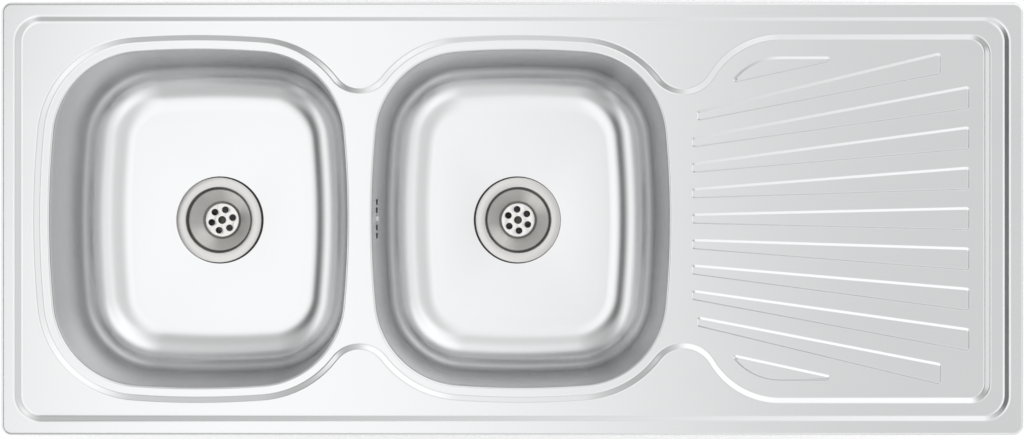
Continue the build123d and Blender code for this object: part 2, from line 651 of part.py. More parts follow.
def compression_nut():
    """Ribbed nut that hangs over a socket's mouth at the origin: thread above, lip below round the pipe."""
    low = -(NUT_LIP + SEAL_RING)
    nut = disc(NUT_R, NUT_HEIGHT, low)
    for i in range(NUT_GRIPS):
        angle = math.radians(i * 360 / NUT_GRIPS)
        nut -= disc(NUT_GRIP, NUT_HEIGHT, low, NUT_R * math.cos(angle), NUT_R * math.sin(angle))
    nut -= disc(PIPE_R + FIT, NUT_HEIGHT, low)
    return nut - disc(SOCKET_R + FIT, NUT_HEIGHT, -SEAL_RING)


def seal_ring():
    return ring(SOCKET_R, PIPE_R + FIT, SEAL_RING, -SEAL_RING)


def at_sockets(solid):
    """The same solid at the chamber's socket and at the waste's inlet."""
    wx, wy = waste_place(RIGHT_X)
    upper = Pos(PIPE_X, wy, CHAMBER_FOOT - SOCKET_DEPTH) * solid
    lower = Pos(wx - INLET_FACE, wy, INLET_Z) * Rot(0, 90, 0) * solid
    return upper, lower


# ---------------------------------------------------------------- seal, pads, earth tag
def rim_seal():
    outer = 2 * SEAL_INSET
    inner = outer + 2 * SEAL_WIDTH
    corner = OUTER_CORNER - SEAL_INSET
    strip = rounded_plate(LENGTH - outer, WIDTH - outer, corner, RIM_TOP - SHEET, 0)
    return strip - rounded_plate(LENGTH - inner, WIDTH - inner, STEP_CORNER, RIM_TOP - SHEET, 0)


def drainer_pad():
    length = RIBS_TO - RIBS_FROM - 2 * DRAINER_PAD_ENDS
    width = 2 * (DRAINER_Y - DRAINER_PAD_SIDES)
    return rounded_plate(length, width, PAD_CORNER, PAD, FLOOR_TOP - SHEET - PAD, (RIBS_FROM + RIBS_TO) / 2)


def bowl_pad(x):
    wx, wy = waste_place(x)
    low = BOWL_FLOOR - SHEET - PAD
    inset = BOWL_DEPTH * math.tan(math.radians(BOWL_DRAFT)) + FLOOR_ROUND + BOWL_PAD_MARGIN
    half_length, half_width = HALF_L - inset, HALF_W - inset
    pad = rounded_plate(2 * half_length, 2 * half_width, PAD_CORNER, PAD, low, x)
    return pad - disc(BODY_FLANGE + PAD_CLEAR, PAD, low, wx, wy)


def earth_tag():
    """Welded tag under the rear band, bent down, with a hole for the bonding wire."""
    foot = Box(TAG_WIDTH, BRACKET_WIDTH, TAG_SHEET, align=HANGING)
    leg = Box(TAG_WIDTH, TAG_SHEET, TAG_DROP, align=(Align.CENTER, Align.MIN, Align.MAX))
    tag = foot + Pos(0, -BRACKET_WIDTH / 2, 0) * leg
    hole = Pos(0, 0, -TAG_DROP + TAG_WIDTH / 2) * Rot(90, 0, 0) * Cylinder(TAG_HOLE, 2 * BRACKET_WIDTH)
    return Pos(-CLAMP_PITCH / 2, BAND_REAR, BAND_UNDER) * (tag - hole)


# ---------------------------------------------------------------- fixing clamps
def clamp_places():
    """Place of each clamp's screw and the direction, in degrees, in which its jaw grips."""
    first = -(CLAMPS_A_SIDE - 1) / 2 * CLAMP_PITCH
    rows = [first + i * CLAMP_PITCH for i in range(CLAMPS_A_SIDE)]
    rear = [(x, BAND_REAR, 90) for x in rows]
    front = [(x, -BAND_REAR, 270) for x in rows]
    return rear + front + [(BAND_RIGHT, 0, 0), (BAND_LEFT, 0, 180)]


def at_clamp(place, solid):
    """Put a clamp piece in place; its own +X lies along the rim, and a quarter turn takes it outwards."""
    x, y, outwards = place
    return Pos(x, y, 0) * Rot(0, 0, outwards - 90) * solid


def bracket():
    """Hat-shaped bracket, hung from the band by two feet, with a threaded collar on its web."""
    t = BRACKET_SHEET
    under, web = BAND_UNDER, WEB_TOP
    half = BRACKET_SPAN / 2
    far = half + BRACKET_FOOT
    right_inside = [(0, web), (half - t, web), (half - t, under), (far, under)]
    right_outside = [(far, under - t), (half, under - t), (half, web - t), (0, web - t)]
    right = make_face(Polyline(*right_inside, *right_outside, close=True))
    hat = extrude(Plane.XZ * (right + mirror(right, Plane.YZ)), BRACKET_WIDTH / 2, both=True)
    hat += disc(BRACKET_NUT_R, BRACKET_NUT, web)
    return hat - disc(CLAMP_SCREW + FIT, BRACKET_NUT + 2 * t, web - t)


def clamp_screw():
    """Screw with a collar above the jaw and a flanged hexagon head below it."""
    tip = WEB_TOP + BRACKET_NUT + SCREW_SPARE
    low = JAW_LOW - JAW_PLAY
    foot = low - HEAD_FLANGE - HEAD_HEIGHT
    screw = disc(CLAMP_SCREW, tip - low, low)
    screw = chamfer(edges_at(screw, tip), SCREW_POINT)
    screw += disc(COLLAR_R, COLLAR, JAW_LOW + JAW_SHEET + JAW_PLAY)
    screw += disc(HEAD_FLANGE_R, HEAD_FLANGE, low - HEAD_FLANGE)
    screw += Pos(0, 0, foot) * extrude(RegularPolygon(HEAD_R, 6), HEAD_HEIGHT)
    key = extrude(RegularPolygon(SOCKET_KEY / 2, 6, major_radius=False), KEY_DEPTH)
    return screw - Pos(0, 0, foot) * key


def clamp_jaw():
    """Flat jaw with a rounded heel and a turned-up, toothed gripping edge."""
    length = JAW_HEEL + JAW_REACH
    plate_top = JAW_LOW + JAW_SHEET
    plate = Pos(JAW_REACH - length / 2, 0, JAW_LOW) * extrude(Rectangle(length, JAW_WIDTH), JAW_SHEET)
    plate = fillet(plate.edges().filter_by(Axis.Z).sort_by(Axis.X)[:2], JAW_CORNER)
    edge = Box(JAW_SHEET, JAW_WIDTH, JAW_TIP, align=(Align.MAX, Align.CENTER, Align.MIN))
    notch = extrude(RegularPolygon(JAW_NOTCH, 4, rotation=0), JAW_SHEET, both=True)
    slant = make_face(Polyline((-JAW_TIP, 0), (0, 0), (0, JAW_RIB), close=True))
    rib = Pos(-JAW_SHEET, 0, 0) * extrude(Plane.XZ * slant, JAW_SHEET / 2, both=True)
    tip = edge + rib - Pos(0, 0, JAW_TIP) * Rot(0, 90, 0) * notch
    jaw = plate + Pos(JAW_REACH, 0, plate_top) * tip
    return jaw - disc(CLAMP_SCREW + FIT, 2 * JAW_SHEET, JAW_LOW - JAW_SHEET / 2)


# ---------------------------------------------------------------- the whole sink
def wastes(name, x, turn, slip, inlet):
    """Every piece of one bowl's waste, by node name."""
    wx, wy = waste_place(x)
    flange_gasket = ring(FLANGE_R + GASKET_PROUD, WASTE_HOLE + GASKET_PROUD, GASKET, BOWL_FLOOR)
    screw = cross_head_screw(WASTE_SCREW, SCREW_LENGTH, SCREW_HEAD, SCREW_HEAD_HEIGHT)
    insert = ring(INSERT_R, WASTE_SCREW + FIT, INSERT_HEIGHT, BOSS_TOP - INSERT_HEIGHT)
    body_gasket = ring(BODY_FLANGE - BODY_GASKET_INSET, WASTE_HOLE, BODY_GASKET, BODY_TOP)
    return {
        name + "_strainer_cup": strainer_cup(wx, wy, turn),
        name + "_flange_gasket": Pos(wx + slip, wy) * flange_gasket,
        name + "_waste_screw": Pos(wx, wy, DISC_TOP) * Rot(0, 0, -turn) * screw,
        name + "_screw_insert": Pos(wx, wy) * insert,
        name + "_body_gasket": Pos(wx, wy) * body_gasket,
        name + "_waste_body": waste_body(wx, wy, turn, inlet),
    }


def all_nodes():
    """Every node of the sink, by name."""
    upper_nut, lower_nut = at_sockets(compression_nut())
    seals = at_sockets(seal_ring())
    places = clamp_places()
    head = (OVERFLOW_HEAD, OVERFLOW_HEAD_HEIGHT)
    wall_screw = cross_head_screw(OVERFLOW_SCREW, OVERFLOW_SCREW_LENGTH, *head)
    nodes = {
        "deck": deck(),
        "left_bowl": bowl(LEFT_X, overflow=False),
        "right_bowl": bowl(RIGHT_X, overflow=True),
        "rim_seal": rim_seal(),
        "drainer_pad": drainer_pad(),
        "left_bowl_pad": bowl_pad(LEFT_X),
        "right_bowl_pad": bowl_pad(RIGHT_X),
        "earth_tag": earth_tag(),
        "overflow_chamber": overflow_chamber(),
        "overflow_gasket": overflow_gasket(),
        "overflow_screw": square_to_wall(Pos(0, 0, FIT) * wall_screw),
        "overflow_pipe": overflow_pipe(),
        "overflow_top_nut": upper_nut,
        "overflow_bottom_nut": lower_nut,
        "overflow_seals": Compound(children=list(seals)),
        "clamp_brackets": Compound(children=[at_clamp(p, bracket()) for p in places]),
    }
    nodes.update(wastes("left", LEFT_X, LEFT_TURN, GASKET_SLIP, inlet=False))
    nodes.update(wastes("right", RIGHT_X, RIGHT_TURN, -GASKET_SLIP, inlet=True))
    for number, place in enumerate(places, 1):
        nodes[f"clamp_screw_{number}"] = at_clamp(place, clamp_screw())
        nodes[f"clamp_jaw_{number}"] = at_clamp(place, clamp_jaw())
    return nodes


for node, solid in all_nodes().items():
    export_step(solid, f"parts/{node}.step")
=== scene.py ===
# %% [markdown]
# # Dressing a pressed steel kitchen sink
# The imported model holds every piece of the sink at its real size, but its pressed bends are faceted and its
# surfaces are bare. This notebook keeps that model as a fixed frame and gives each piece the shape and
# finish that light shows up. A satin steel sink is nearly all reflection, so smooth bends matter most.

# %% Load the fixed frame
import math

import bmesh
import bpy
from mathutils import Matrix, Vector


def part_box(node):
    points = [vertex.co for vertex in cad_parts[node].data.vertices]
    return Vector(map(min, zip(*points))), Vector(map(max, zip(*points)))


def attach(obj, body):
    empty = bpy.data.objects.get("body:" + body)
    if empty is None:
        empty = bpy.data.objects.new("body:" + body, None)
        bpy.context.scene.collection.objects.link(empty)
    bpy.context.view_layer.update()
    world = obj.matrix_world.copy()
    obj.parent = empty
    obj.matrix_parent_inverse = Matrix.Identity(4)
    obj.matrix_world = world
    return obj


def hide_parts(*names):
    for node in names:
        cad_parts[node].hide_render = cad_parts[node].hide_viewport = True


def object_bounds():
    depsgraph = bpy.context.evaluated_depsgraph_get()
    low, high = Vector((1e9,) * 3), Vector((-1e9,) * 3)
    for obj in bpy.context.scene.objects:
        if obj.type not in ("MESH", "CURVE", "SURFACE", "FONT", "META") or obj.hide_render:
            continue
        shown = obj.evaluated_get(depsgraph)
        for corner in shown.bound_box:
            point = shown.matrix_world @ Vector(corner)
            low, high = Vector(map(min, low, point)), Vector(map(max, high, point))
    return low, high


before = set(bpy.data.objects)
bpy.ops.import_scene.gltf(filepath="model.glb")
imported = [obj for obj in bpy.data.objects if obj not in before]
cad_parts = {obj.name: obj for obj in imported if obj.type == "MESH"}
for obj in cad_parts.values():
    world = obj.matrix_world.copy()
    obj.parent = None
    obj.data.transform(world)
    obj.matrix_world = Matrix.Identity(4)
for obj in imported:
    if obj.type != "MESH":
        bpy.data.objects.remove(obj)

cad_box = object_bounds()

# %% [markdown]
# ## Sizes
# Most sizes can be read back from the frame: a bowl's box gives its opening, its floor and the weld to the
# deck. Sizes that a box can't show, such as bend radii, are written here in millimetres times MM.

# %% Sizes read from the frame
MM = 0.001
SHEET = 0.8 * MM
deck_low, deck_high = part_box("deck")
LENGTH = deck_high.x - deck_low.x
WIDTH = deck_high.y - deck_low.y
RIM_TOP = deck_high.z
WELD_Z = deck_low.z


def middle(node):
    low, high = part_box(node)
    return (low + high) / 2


bowl_low, bowl_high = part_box("left_bowl")
HALF_L = (bowl_high.x - bowl_low.x) / 2 - SHEET
HALF_W = (bowl_high.y - bowl_low.y) / 2 - SHEET
BOWL_FLOOR = bowl_low.z + SHEET
BOWL_X = {"left": middle("left_bowl").x, "right": middle("right_bowl").x}
print("sink", round(LENGTH / MM), "x", round(WIDTH / MM), "mm; bowl depth", round((WELD_Z - BOWL_FLOOR) / MM))

# %% Sizes of the pressed bends
OUTER_CORNER = 12.0 * MM
EDGE_ROLL = 4.0 * MM
RIM_FLAT = 16.5 * MM  # outer edge to the top of the rim step
STEP_RUN = 6.3 * MM
STEP_DROP = 3.0 * MM
STEP_CORNER = 30.0 * MM
STEP_ROUND = 8.0 * MM
SINK_RUN = 6.0 * MM  # the slope down to the sunk floor
SINK_DROP = 4.0 * MM
SINK_ROUND = 4.0 * MM
BAND_TOP = RIM_TOP - STEP_DROP
FLOOR_TOP = BAND_TOP - SINK_DROP
BOWL_CORNER = 101.0 * MM
END_BOW = 1066.0 * MM
SIDE_BOW = 1014.0 * MM
BOWL_DRAFT = math.radians(5.0)
FLOOR_ROUND = 52.0 * MM
MOUTH_ROLL = 3.0 * MM
LEDGE = 11.2 * MM
SLOPE_MIDDLE = LEDGE + SINK_RUN / 2

# %% [markdown]
# ## The camera
# The portrait is taken from straight above. The wastes, deep in the bowls, stand closer together than the
# bowls' middles do, and that shift gives the camera's height: about 1.87 m. The lens then follows from the
# rim's length, which spans the frame's width of 1024 pixels.

# %% Camera straight above the sink
CAMERA_HEIGHT = 1.872
CAMERA_SHIFT = (-0.4 * MM, -0.9 * MM)  # the photograph was taken a little off the sink's middle
FRAME_WIDTH = 1024
PIXEL = 1.1525 * MM  # size of a pixel in the rim's plane


def placed(name, data):
    """A new object in the scene."""
    made = bpy.data.objects.new(name, data)
    bpy.context.scene.collection.objects.link(made)
    return made


camera_data = bpy.data.cameras.new("camera")
camera_data.lens = camera_data.sensor_width * (CAMERA_HEIGHT - RIM_TOP) / (FRAME_WIDTH * PIXEL)
camera = placed("camera", camera_data)
camera.location = (*CAMERA_SHIFT, CAMERA_HEIGHT)
bpy.context.scene.camera = camera
print("lens", round(camera_data.lens, 1), "mm")

# %% [markdown]
# ## Shader sums
# Blender's materials are graphs, and a graph is hard to read in code. This small class wraps one output
# socket, so that a + b or a * 0.5 adds the Math node that does the sum.

# %% A socket that can be added and multiplied
class Sum:
    def __init__(self, graph, socket):
        self.graph = graph
        self.socket = socket

    def __add__(self, other):
        return self.graph.math("ADD", self, other)

    def __sub__(self, other):
        return self.graph.math("SUBTRACT", self, other)

    def __mul__(self, other):
        return self.graph.math("MULTIPLY", self, other)

    def zigzag(self):
        """A wave between 0 and 0.5 that repeats every time the value grows by 1."""
        return self.graph.math("PINGPONG", self, 0.5)

    __radd__ = __add__


class Graph:
    """A node tree. node() adds any node, sets it up, feeds its sockets and returns one output."""

    def __init__(self, tree):
        self.nodes = tree.nodes
        self.links = tree.links

    def feed(self, node, values):
        pairs = values.items() if isinstance(values, dict) else enumerate(values)
        for key, value in pairs:
            socket = node.inputs[key]
            if isinstance(value, Sum):
                self.links.new(value.socket, socket)
            else:
                socket.default_value = value

    def node(self, kind, settings=None, values=(), output=0):
        node = self.nodes.new(kind)
        for key, value in (settings or {}).items():
            setattr(node, key, value)
        self.feed(node, values)
        return Sum(self, node.outputs[output])

    def math(self, operation, a, b):
        return self.node("ShaderNodeMath", {"operation": operation}, [a, b])

    def vector(self, operation, values, output=0):
        return self.node("ShaderNodeVectorMath", {"operation": operation}, values, output)

    def ramp(self, value, stops):
        made = self.node("ShaderNodeValToRGB", None, [value])
        elements = made.socket.node.color_ramp.elements
        for _ in stops[2:]:
            elements.new(0.5)
        for element, (place, grey) in zip(elements, stops):
            element.position = place
            element.color = (grey, grey, grey, 1.0)
        return made

    def place(self, stretch=(1.0, 1.0, 1.0), start=(0.0, 0.0, 0.0)):
        """The object's own coordinates, in metres, counted from start, times a stretch along each axis."""
        spot = self.node("ShaderNodeTexCoord", output="Object")
        return self.vector("MULTIPLY", [self.vector("SUBTRACT", [spot, start]), stretch])

    def along(self, vector, axis):
        return self.node("ShaderNodeSeparateXYZ", None, [vector], axis)

    def noise(self, vector, scale=1.0, detail=2.0):
        return self.node("ShaderNodeTexNoise", None, {"Vector": vector, "Scale": scale, "Detail": detail})

    def radius(self, centre):
        """Distance from an upright line through centre."""
        return self.vector("LENGTH", [self.place((1.0, 1.0, 0.0), centre)], 1)

    def rings(self, centre, spacing):
        """Noise that changes only with the distance from an upright line: the marks of a lathe."""
        across = self.radius(centre) * (1.0 / spacing)
        return self.noise(self.node("ShaderNodeCombineXYZ", None, [across]), detail=1.0)


class Finish(Graph):
    """A material with one Principled shader."""

    def __init__(self, name, **surface):
        self.material = bpy.data.materials.new(name)
        self.material.use_nodes = True
        super().__init__(self.material.node_tree)
        self.shader = self.nodes["Principled BSDF"]
        self.surface(**surface)

    def surface(self, **values):
        self.feed(self.shader, {key.replace("_", " "): value for key, value in values.items()})

    def colours(self, mask, dark, light):
        """A mix of two colours. The Mix node takes them in sockets 6 and 7 and gives their mix in 2."""
        values = {0: mask, 6: (*dark, 1.0), 7: (*light, 1.0)}
        return self.node("ShaderNodeMix", {"data_type": "RGBA"}, values, 2)

    def dressed(self, mask, dark, light, roughness, height, depth, strength=1.0):
        """The material, with two colours mixed by a mask, a roughness and a bump."""
        bump = self.node("ShaderNodeBump", None, {"Height": height, "Distance": depth, "Strength": strength})
        self.surface(Base_Color=self.colours(mask, dark, light), Roughness=roughness, Normal=bump)
        return self.material


print("shader helpers ready")

# %% [markdown]
# ## Steel
# The sheet is brushed along its length before it is pressed. Noise that is stretched along X makes such
# scratches; a little of it goes into the roughness and the bump, and a slow wave into the colour. The bowls'
# walls are painted darker than their floors, from a little above the floor up: painted shade.

# %% Satin steel for the deck and the bowls
WALL_SHADE = 0.8  # tint of a wall's painted shade, as a share of the sheet's
WALL_SHADE_HEIGHTS = [(0.15, 0.0), (0.45, 1.0)]  # share of a bowl's depth, from its floor up
SCRATCHES, FINE, SLOW = (12.0, 900.0, 900.0), (40.0, 2600.0, 2600.0), (2.0, 14.0, 6.0)  # waves in a metre
SCRATCH_DEPTH = 0.004 * MM


def satin_steel(name, tint, roughness, grain, shaded_walls=False):
    steel = Finish(name, Metallic=1.0)
    scratches = steel.noise(steel.place(SCRATCHES), detail=3.0)
    fine = steel.noise(steel.place(FINE))
    slow = steel.noise(steel.place(SLOW), detail=1.0)
    shine = 0.82 + slow * 0.09 + scratches * 0.09
    # Painted shade: a bowl's walls turn to the darker tint from a little above the floor, fully from about
    # half its depth up.
    if shaded_walls:
        depth = steel.place((0.0, 0.0, 1 / (WELD_Z - BOWL_FLOOR)), (0.0, 0.0, BOWL_FLOOR))
        shine = shine - steel.ramp(steel.along(depth, "Z"), WALL_SHADE_HEIGHTS)
    grain_and_shade_tint = tuple(channel * WALL_SHADE for channel in tint)
    roughness = (roughness - grain) + scratches * grain + slow * grain
    return steel.dressed(shine, grain_and_shade_tint, tint, roughness, scratches * 0.6 + fine * 0.4, SCRATCH_DEPTH)


deck_steel = satin_steel("deck_steel", (0.70, 0.704, 0.71), 0.22, 0.03)
bowl_steel = satin_steel("bowl_steel", (0.72, 0.724, 0.73), 0.24, 0.02, shaded_walls=True)
print("steel ready")

# %% [markdown]
# The strainer cups are turned after pressing, so their marks are rings: noise that looks only at the distance
# from the waste's middle. The cone is rougher than the rest. Its head and its foot are painted dark as shade,
# the cone is painted lighter than the flange and the disc, and two fans on opposite sides of it are painted
# highlights.

# %% Turned steel for the strainers
WASTE = {name: middle(name + "_strainer_cup") for name in BOWL_X}
RING = 0.5 * MM  # width of a mark
FULL_RADIUS = 60.0 * MM  # the places of the stops below are shares of it
CONE_STOPS = [(0.39, 0.0), (0.42, 1.0), (0.62, 1.0), (0.64, 0.0)]
# Colour by radius: the dark rings at the cone's foot and at the step are painted shade, and the cone is
# painted lighter than the flange and the disc.
PAINTED_LIGHT_STOPS = [(0.345, 0.66), (0.36, 0.1), (0.385, 0.1), (0.41, 0.72), (0.62, 0.72),
               (0.64, 0.07), (0.675, 0.07), (0.69, 0.5), (0.80, 0.55)]
# Two fans of lighter colour on opposite sides of the cone: painted highlights.
FAN_TURN = -0.24  # in half turns
FAN_EDGE = [(0.55, 0.0), (0.95, 1.0)]
PAINTED_FAN_SHINE = 0.35


def turned_steel(name):
    steel = Finish(name + "_strainer_steel", Metallic=1.0)
    rings = steel.rings(WASTE[name], RING)
    distance = steel.radius(WASTE[name]) * (1 / FULL_RADIUS)
    spot = steel.place(start=WASTE[name])
    angle = steel.math("ARCTAN2", steel.along(spot, "Y"), steel.along(spot, "X"))
    # Painted highlights: the fans lighten the cone's colour in two opposite sectors.
    painted_highlight_fans = steel.ramp((angle * (1 / math.pi) - FAN_TURN).zigzag() * 2.0, FAN_EDGE)
    cone = steel.ramp(distance, CONE_STOPS)
    shine = steel.ramp(distance, PAINTED_LIGHT_STOPS) + painted_highlight_fans * cone * PAINTED_FAN_SHINE
    roughness = 0.2 + cone * 0.14 + rings * 0.12
    return steel.dressed(shine, (0.10, 0.09, 0.08), (1.0, 0.995, 0.98), roughness, rings, 0.03 * MM, 0.6)


strainer_steel = {name: turned_steel(name) for name in BOWL_X}
print("turned steel ready")

# %% [markdown]
# The small metal parts are plain: screws polished or zinc plated, brackets left as they came from the mill.
# The waste screws are steel painted near black: painted shade.
# Zinc plate shows faint patches like frost, which Voronoi cells give. Brass keeps the rings of the lathe.

# %% Screws, brackets and brass
def plated(name, light, dark, roughness, patch):
    metal = Finish(name, Metallic=1.0)
    patches = metal.node("ShaderNodeTexVoronoi", None, {"Vector": metal.place(), "Scale": 1 / patch}, 1)
    wear = metal.noise(metal.place(), 400.0, 4.0)
    roughness = (roughness - 0.06) + wear * 0.12
    return metal.dressed(wear, dark, light, roughness, wear * 0.7 + patches * 0.3, 0.015 * MM)


screw_steel = plated("screw_steel", (0.74, 0.74, 0.74), (0.66, 0.66, 0.67), 0.16, 4.0 * MM)
# Near-black steel for the waste screws: painted shade, for the dark their heads show deep in the strainer.
painted_shade_steel = plated("painted_shade_steel", (0.10, 0.10, 0.09), (0.05, 0.05, 0.045), 0.34, 4.0 * MM)
zinc_steel = plated("zinc_steel", (0.70, 0.72, 0.73), (0.60, 0.62, 0.63), 0.36, 2.0 * MM)
bracket_steel = plated("bracket_steel", (0.66, 0.67, 0.68), (0.58, 0.59, 0.60), 0.30, 6.0 * MM)


turning = Finish("brass", Metallic=1.0)
marks = turning.noise(turning.place((400.0, 400.0, 4000.0)))
brass = turning.dressed(marks, (0.70, 0.50, 0.22), (0.82, 0.63, 0.32), 0.3, marks, 0.02 * MM)
print("small metal ready")

# %% [markdown]
# Rubber is matt and black with a dusty bloom. The rim seal is closed-cell foam, so it has pores. The bitumen
# sheets are pressed with a waffle pattern, made of two zigzag waves, one along each side of the sheet. The
# plastic of the waste bodies and the overflow has a fine grain.

# %% Rubber, foam, damping sheet and moulded plastic
def soft_black(name, light, dark, scale, depth):
    rubber = Finish(name)
    bloom = rubber.noise(rubber.place(), 30.0, 4.0)
    pores = rubber.noise(rubber.place(), scale, 3.0)
    return rubber.dressed(bloom, dark, light, 0.55 + bloom * 0.3, pores, depth)


black_rubber = soft_black("black_rubber", (0.035, 0.035, 0.035), (0.015, 0.015, 0.015), 1200.0, 0.02 * MM)
grey_foam = soft_black("grey_foam", (0.24, 0.24, 0.25), (0.16, 0.16, 0.17), 900.0, 0.25 * MM)

WAFFLE = 6.0 * MM  # spacing of the pressed pattern
WAFFLE_DEPTH = 1.2 * MM
bitumen = Finish("damping_sheet")
spot = bitumen.place((1 / WAFFLE, 1 / WAFFLE, 0.0))
ridges = bitumen.math("MAXIMUM", bitumen.along(spot, "X").zigzag(), bitumen.along(spot, "Y").zigzag())
grit = bitumen.noise(bitumen.place(), 700.0, 3.0)
damping_sheet = bitumen.dressed(
    grit * 0.6 + ridges * 0.6, (0.075, 0.075, 0.08), (0.15, 0.15, 0.155),
    0.65 + grit * 0.25, ridges + grit * 0.15, WAFFLE_DEPTH,
)

plastic = Finish("waste_plastic")
grain = plastic.noise(plastic.place(), 1500.0, 3.0)
cloudy = plastic.noise(plastic.place(), 16.0)
light_grey, pale_grey = (0.70, 0.71, 0.71), (0.80, 0.81, 0.81)
waste_plastic = plastic.dressed(cloudy, light_grey, pale_grey, 0.36 + grain * 0.16, grain, 0.03 * MM)
print("soft materials and plastic ready")

# %% [markdown]
# ## Outlines made of touching arcs
# Every bend of the deck runs parallel to an outline, and each outline is a chain of arcs that touch one
# another. So an outline is sampled once, as points with outward directions, and any parallel line is the
# same points moved along those directions. A negative radius bends inwards.

# %% Outlines
SPACING = 7.0 * MM  # longest distance between two points of an arc
TURN = math.radians(3.0)  # largest turn between them


def arc(x, y, radius):
    return ("arc", x, y, radius)


def side(nx, ny, distance):
    return ("side", nx, ny, distance)


def grown(element, grow):
    kind, a, b, size = element
    return (kind, a, b, size + grow)


def mirrored(chain):
    """A stretch of an outline, mirrored from rear to front and run the other way."""
    return [(kind, a, -b, size) for kind, a, b, size in reversed(chain)]


def meeting(first, second):
    """Where two neighbours of an outline touch."""
    if first[0] == "side":
        first, second = second, first
    _, x, y, radius = first
    kind, a, b, size = second
    if kind == "side":
        return Vector((x + radius * a, y + radius * b))
    share = radius / (radius - size)
    return Vector((x + share * (a - x), y + share * (b - y)))


def sampled(chain):
    """Points and outward directions of a closed chain that runs clockwise, seen from above."""
    touch = [meeting(first, second) for first, second in zip(chain, chain[1:] + chain[:1])]
    points = []
    for i, (kind, a, b, size) in enumerate(chain):
        start, end = touch[i - 1], touch[i]
        if kind == "side":
            steps = max(1, round((end - start).length / (4 * SPACING)))
            outward = Vector((a, b))
            points += [(start.lerp(end, k / steps), outward) for k in range(steps)]
            continue
        centre = Vector((a, b))
        sign = 1 if size > 0 else -1
        first, last = (start - centre).normalized(), (end - centre).normalized()
        swing = first.angle_signed(last)
        steps = max(2, math.ceil(max(abs(swing) / TURN, abs(swing * size) / SPACING)))
        for k in range(steps):
            ray = Matrix.Rotation(-swing * k / steps, 2) @ first
            points.append((centre + ray * abs(size), ray * sign))
    return points


def rounded_rectangle(length, width, radius, x=0.0):
    dx, dy = length / 2 - radius, width / 2 - radius
    right, left = side(1, 0, x + length / 2), side(-1, 0, length / 2 - x)
    return [left, arc(x - dx, dy, radius), side(0, 1, width / 2), arc(x + dx, dy, radius),
            right, arc(x + dx, -dy, radius), side(0, -1, width / 2), arc(x - dx, -dy, radius)]


def crossing(first, second):
    """Where two sides cross."""
    (_, a, b, c), (_, d, e, f) = first, second
    det = a * e - b * d
    return (c * e - b * f) / det, (a * f - c * d) / det


def rounded_polygon(corners, radius):
    """Chain for a convex polygon, given clockwise, with every corner rounded."""
    sides = []
    for i, corner in enumerate(corners):
        along = (Vector(corner) - Vector(corners[i - 1])).normalized()
        sides.append(side(-along.y, along.x, Vector((-along.y, along.x)).dot(Vector(corner))))
    chain = []
    for first, second in zip(sides, sides[1:] + sides[:1]):
        chain += [first, arc(*crossing(grown(first, -radius), grown(second, -radius)), radius)]
    return chain


print("outline helpers ready")

# %% [markdown]
# ## From outlines to bent sheet
# A pressed sheet is flat nearly everywhere, and its bends are narrow. So its mesh is made of rows: each row
# is an outline moved in or out, at one height, and quads join it to the next. The flats between are filled
# with triangles. A row that lies in the flat, just beside each bend, keeps the bend's shading off the flat.

# %% Sections and rows
HOLD = 0.6 * MM  # flat strip beside each bend


def bent(corners, radius, turn=math.radians(5.0)):
    """A section, as (offset, height) points, with its inner corners rounded."""
    corners = [Vector(corner) for corner in corners]
    radii = radius if isinstance(radius, list) else [radius] * (len(corners) - 2)
    points = [corners[0]]
    for before, corner, after, size in zip(corners, corners[1:], corners[2:], radii):
        u, v = (before - corner).normalized(), (after - corner).normalized()
        half = u.angle(v) / 2
        centre = corner + (u + v).normalized() * (size / math.sin(half))
        first = corner + u * (size / math.tan(half)) - centre
        swing = first.angle_signed(corner + v * (size / math.tan(half)) - centre)
        steps = max(2, math.ceil(abs(swing) / turn))
        points += [centre + Matrix.Rotation(-swing * k / steps, 2) @ first for k in range(steps + 1)]
    return points + [corners[-1]]


def slope(run, drop, bend, top):
    """Section of a slope, centred on its outline, with both its bends and a strip of flat on each side."""
    reach = run / 2 + bend * math.tan(math.atan2(abs(drop), run) / 2) + HOLD
    corners = [(reach, top), (run / 2, top), (-run / 2, top - drop), (-reach, top - drop)]
    return bent(corners, bend)


class Sheet:
    """A mesh in the making. Rows run clockwise, the outermost first, and faces look up and inwards."""

    def __init__(self):
        self.mesh = bmesh.new()

    def rows(self, outline, section):
        loops = [[self.mesh.verts.new((*(p + n * grow), z)) for p, n in outline] for grow, z in section]
        for outer, inner in zip(loops, loops[1:]):
            self.join(outer, inner)
        return loops

    def join(self, outer, inner):
        for i in range(len(outer)):
            self.mesh.faces.new((inner[i - 1], inner[i], outer[i], outer[i - 1]))

    def fill(self, *loops, up=True):
        """Flat triangles between an outer loop and any loops inside it."""
        edges = [self.mesh.edges.get((loop[i - 1], loop[i])) for loop in loops for i in range(len(loop))]
        made = bmesh.ops.triangle_fill(self.mesh, edges=edges, use_beauty=True)
        for face in made["geom"]:
            if isinstance(face, bmesh.types.BMFace):
                face.normal_update()
                if (face.normal.z > 0) != up:
                    face.normal_flip()


def circle(x, y, count=96):
    """An outline whose rows are circles: their radius is the offset."""
    rays = [Vector((math.cos(-math.tau * k / count), math.sin(-math.tau * k / count))) for k in range(count)]
    return [(Vector((x, y)), ray) for ray in rays]


print("sheet helpers ready")

# %% Finished pieces
def as_data(mesh, matrix=None):
    """A bmesh as mesh data, moved by a matrix."""
    data = bpy.data.meshes.new("solid")
    mesh.to_mesh(data)
    mesh.free()
    if matrix:
        data.transform(matrix)
    return data


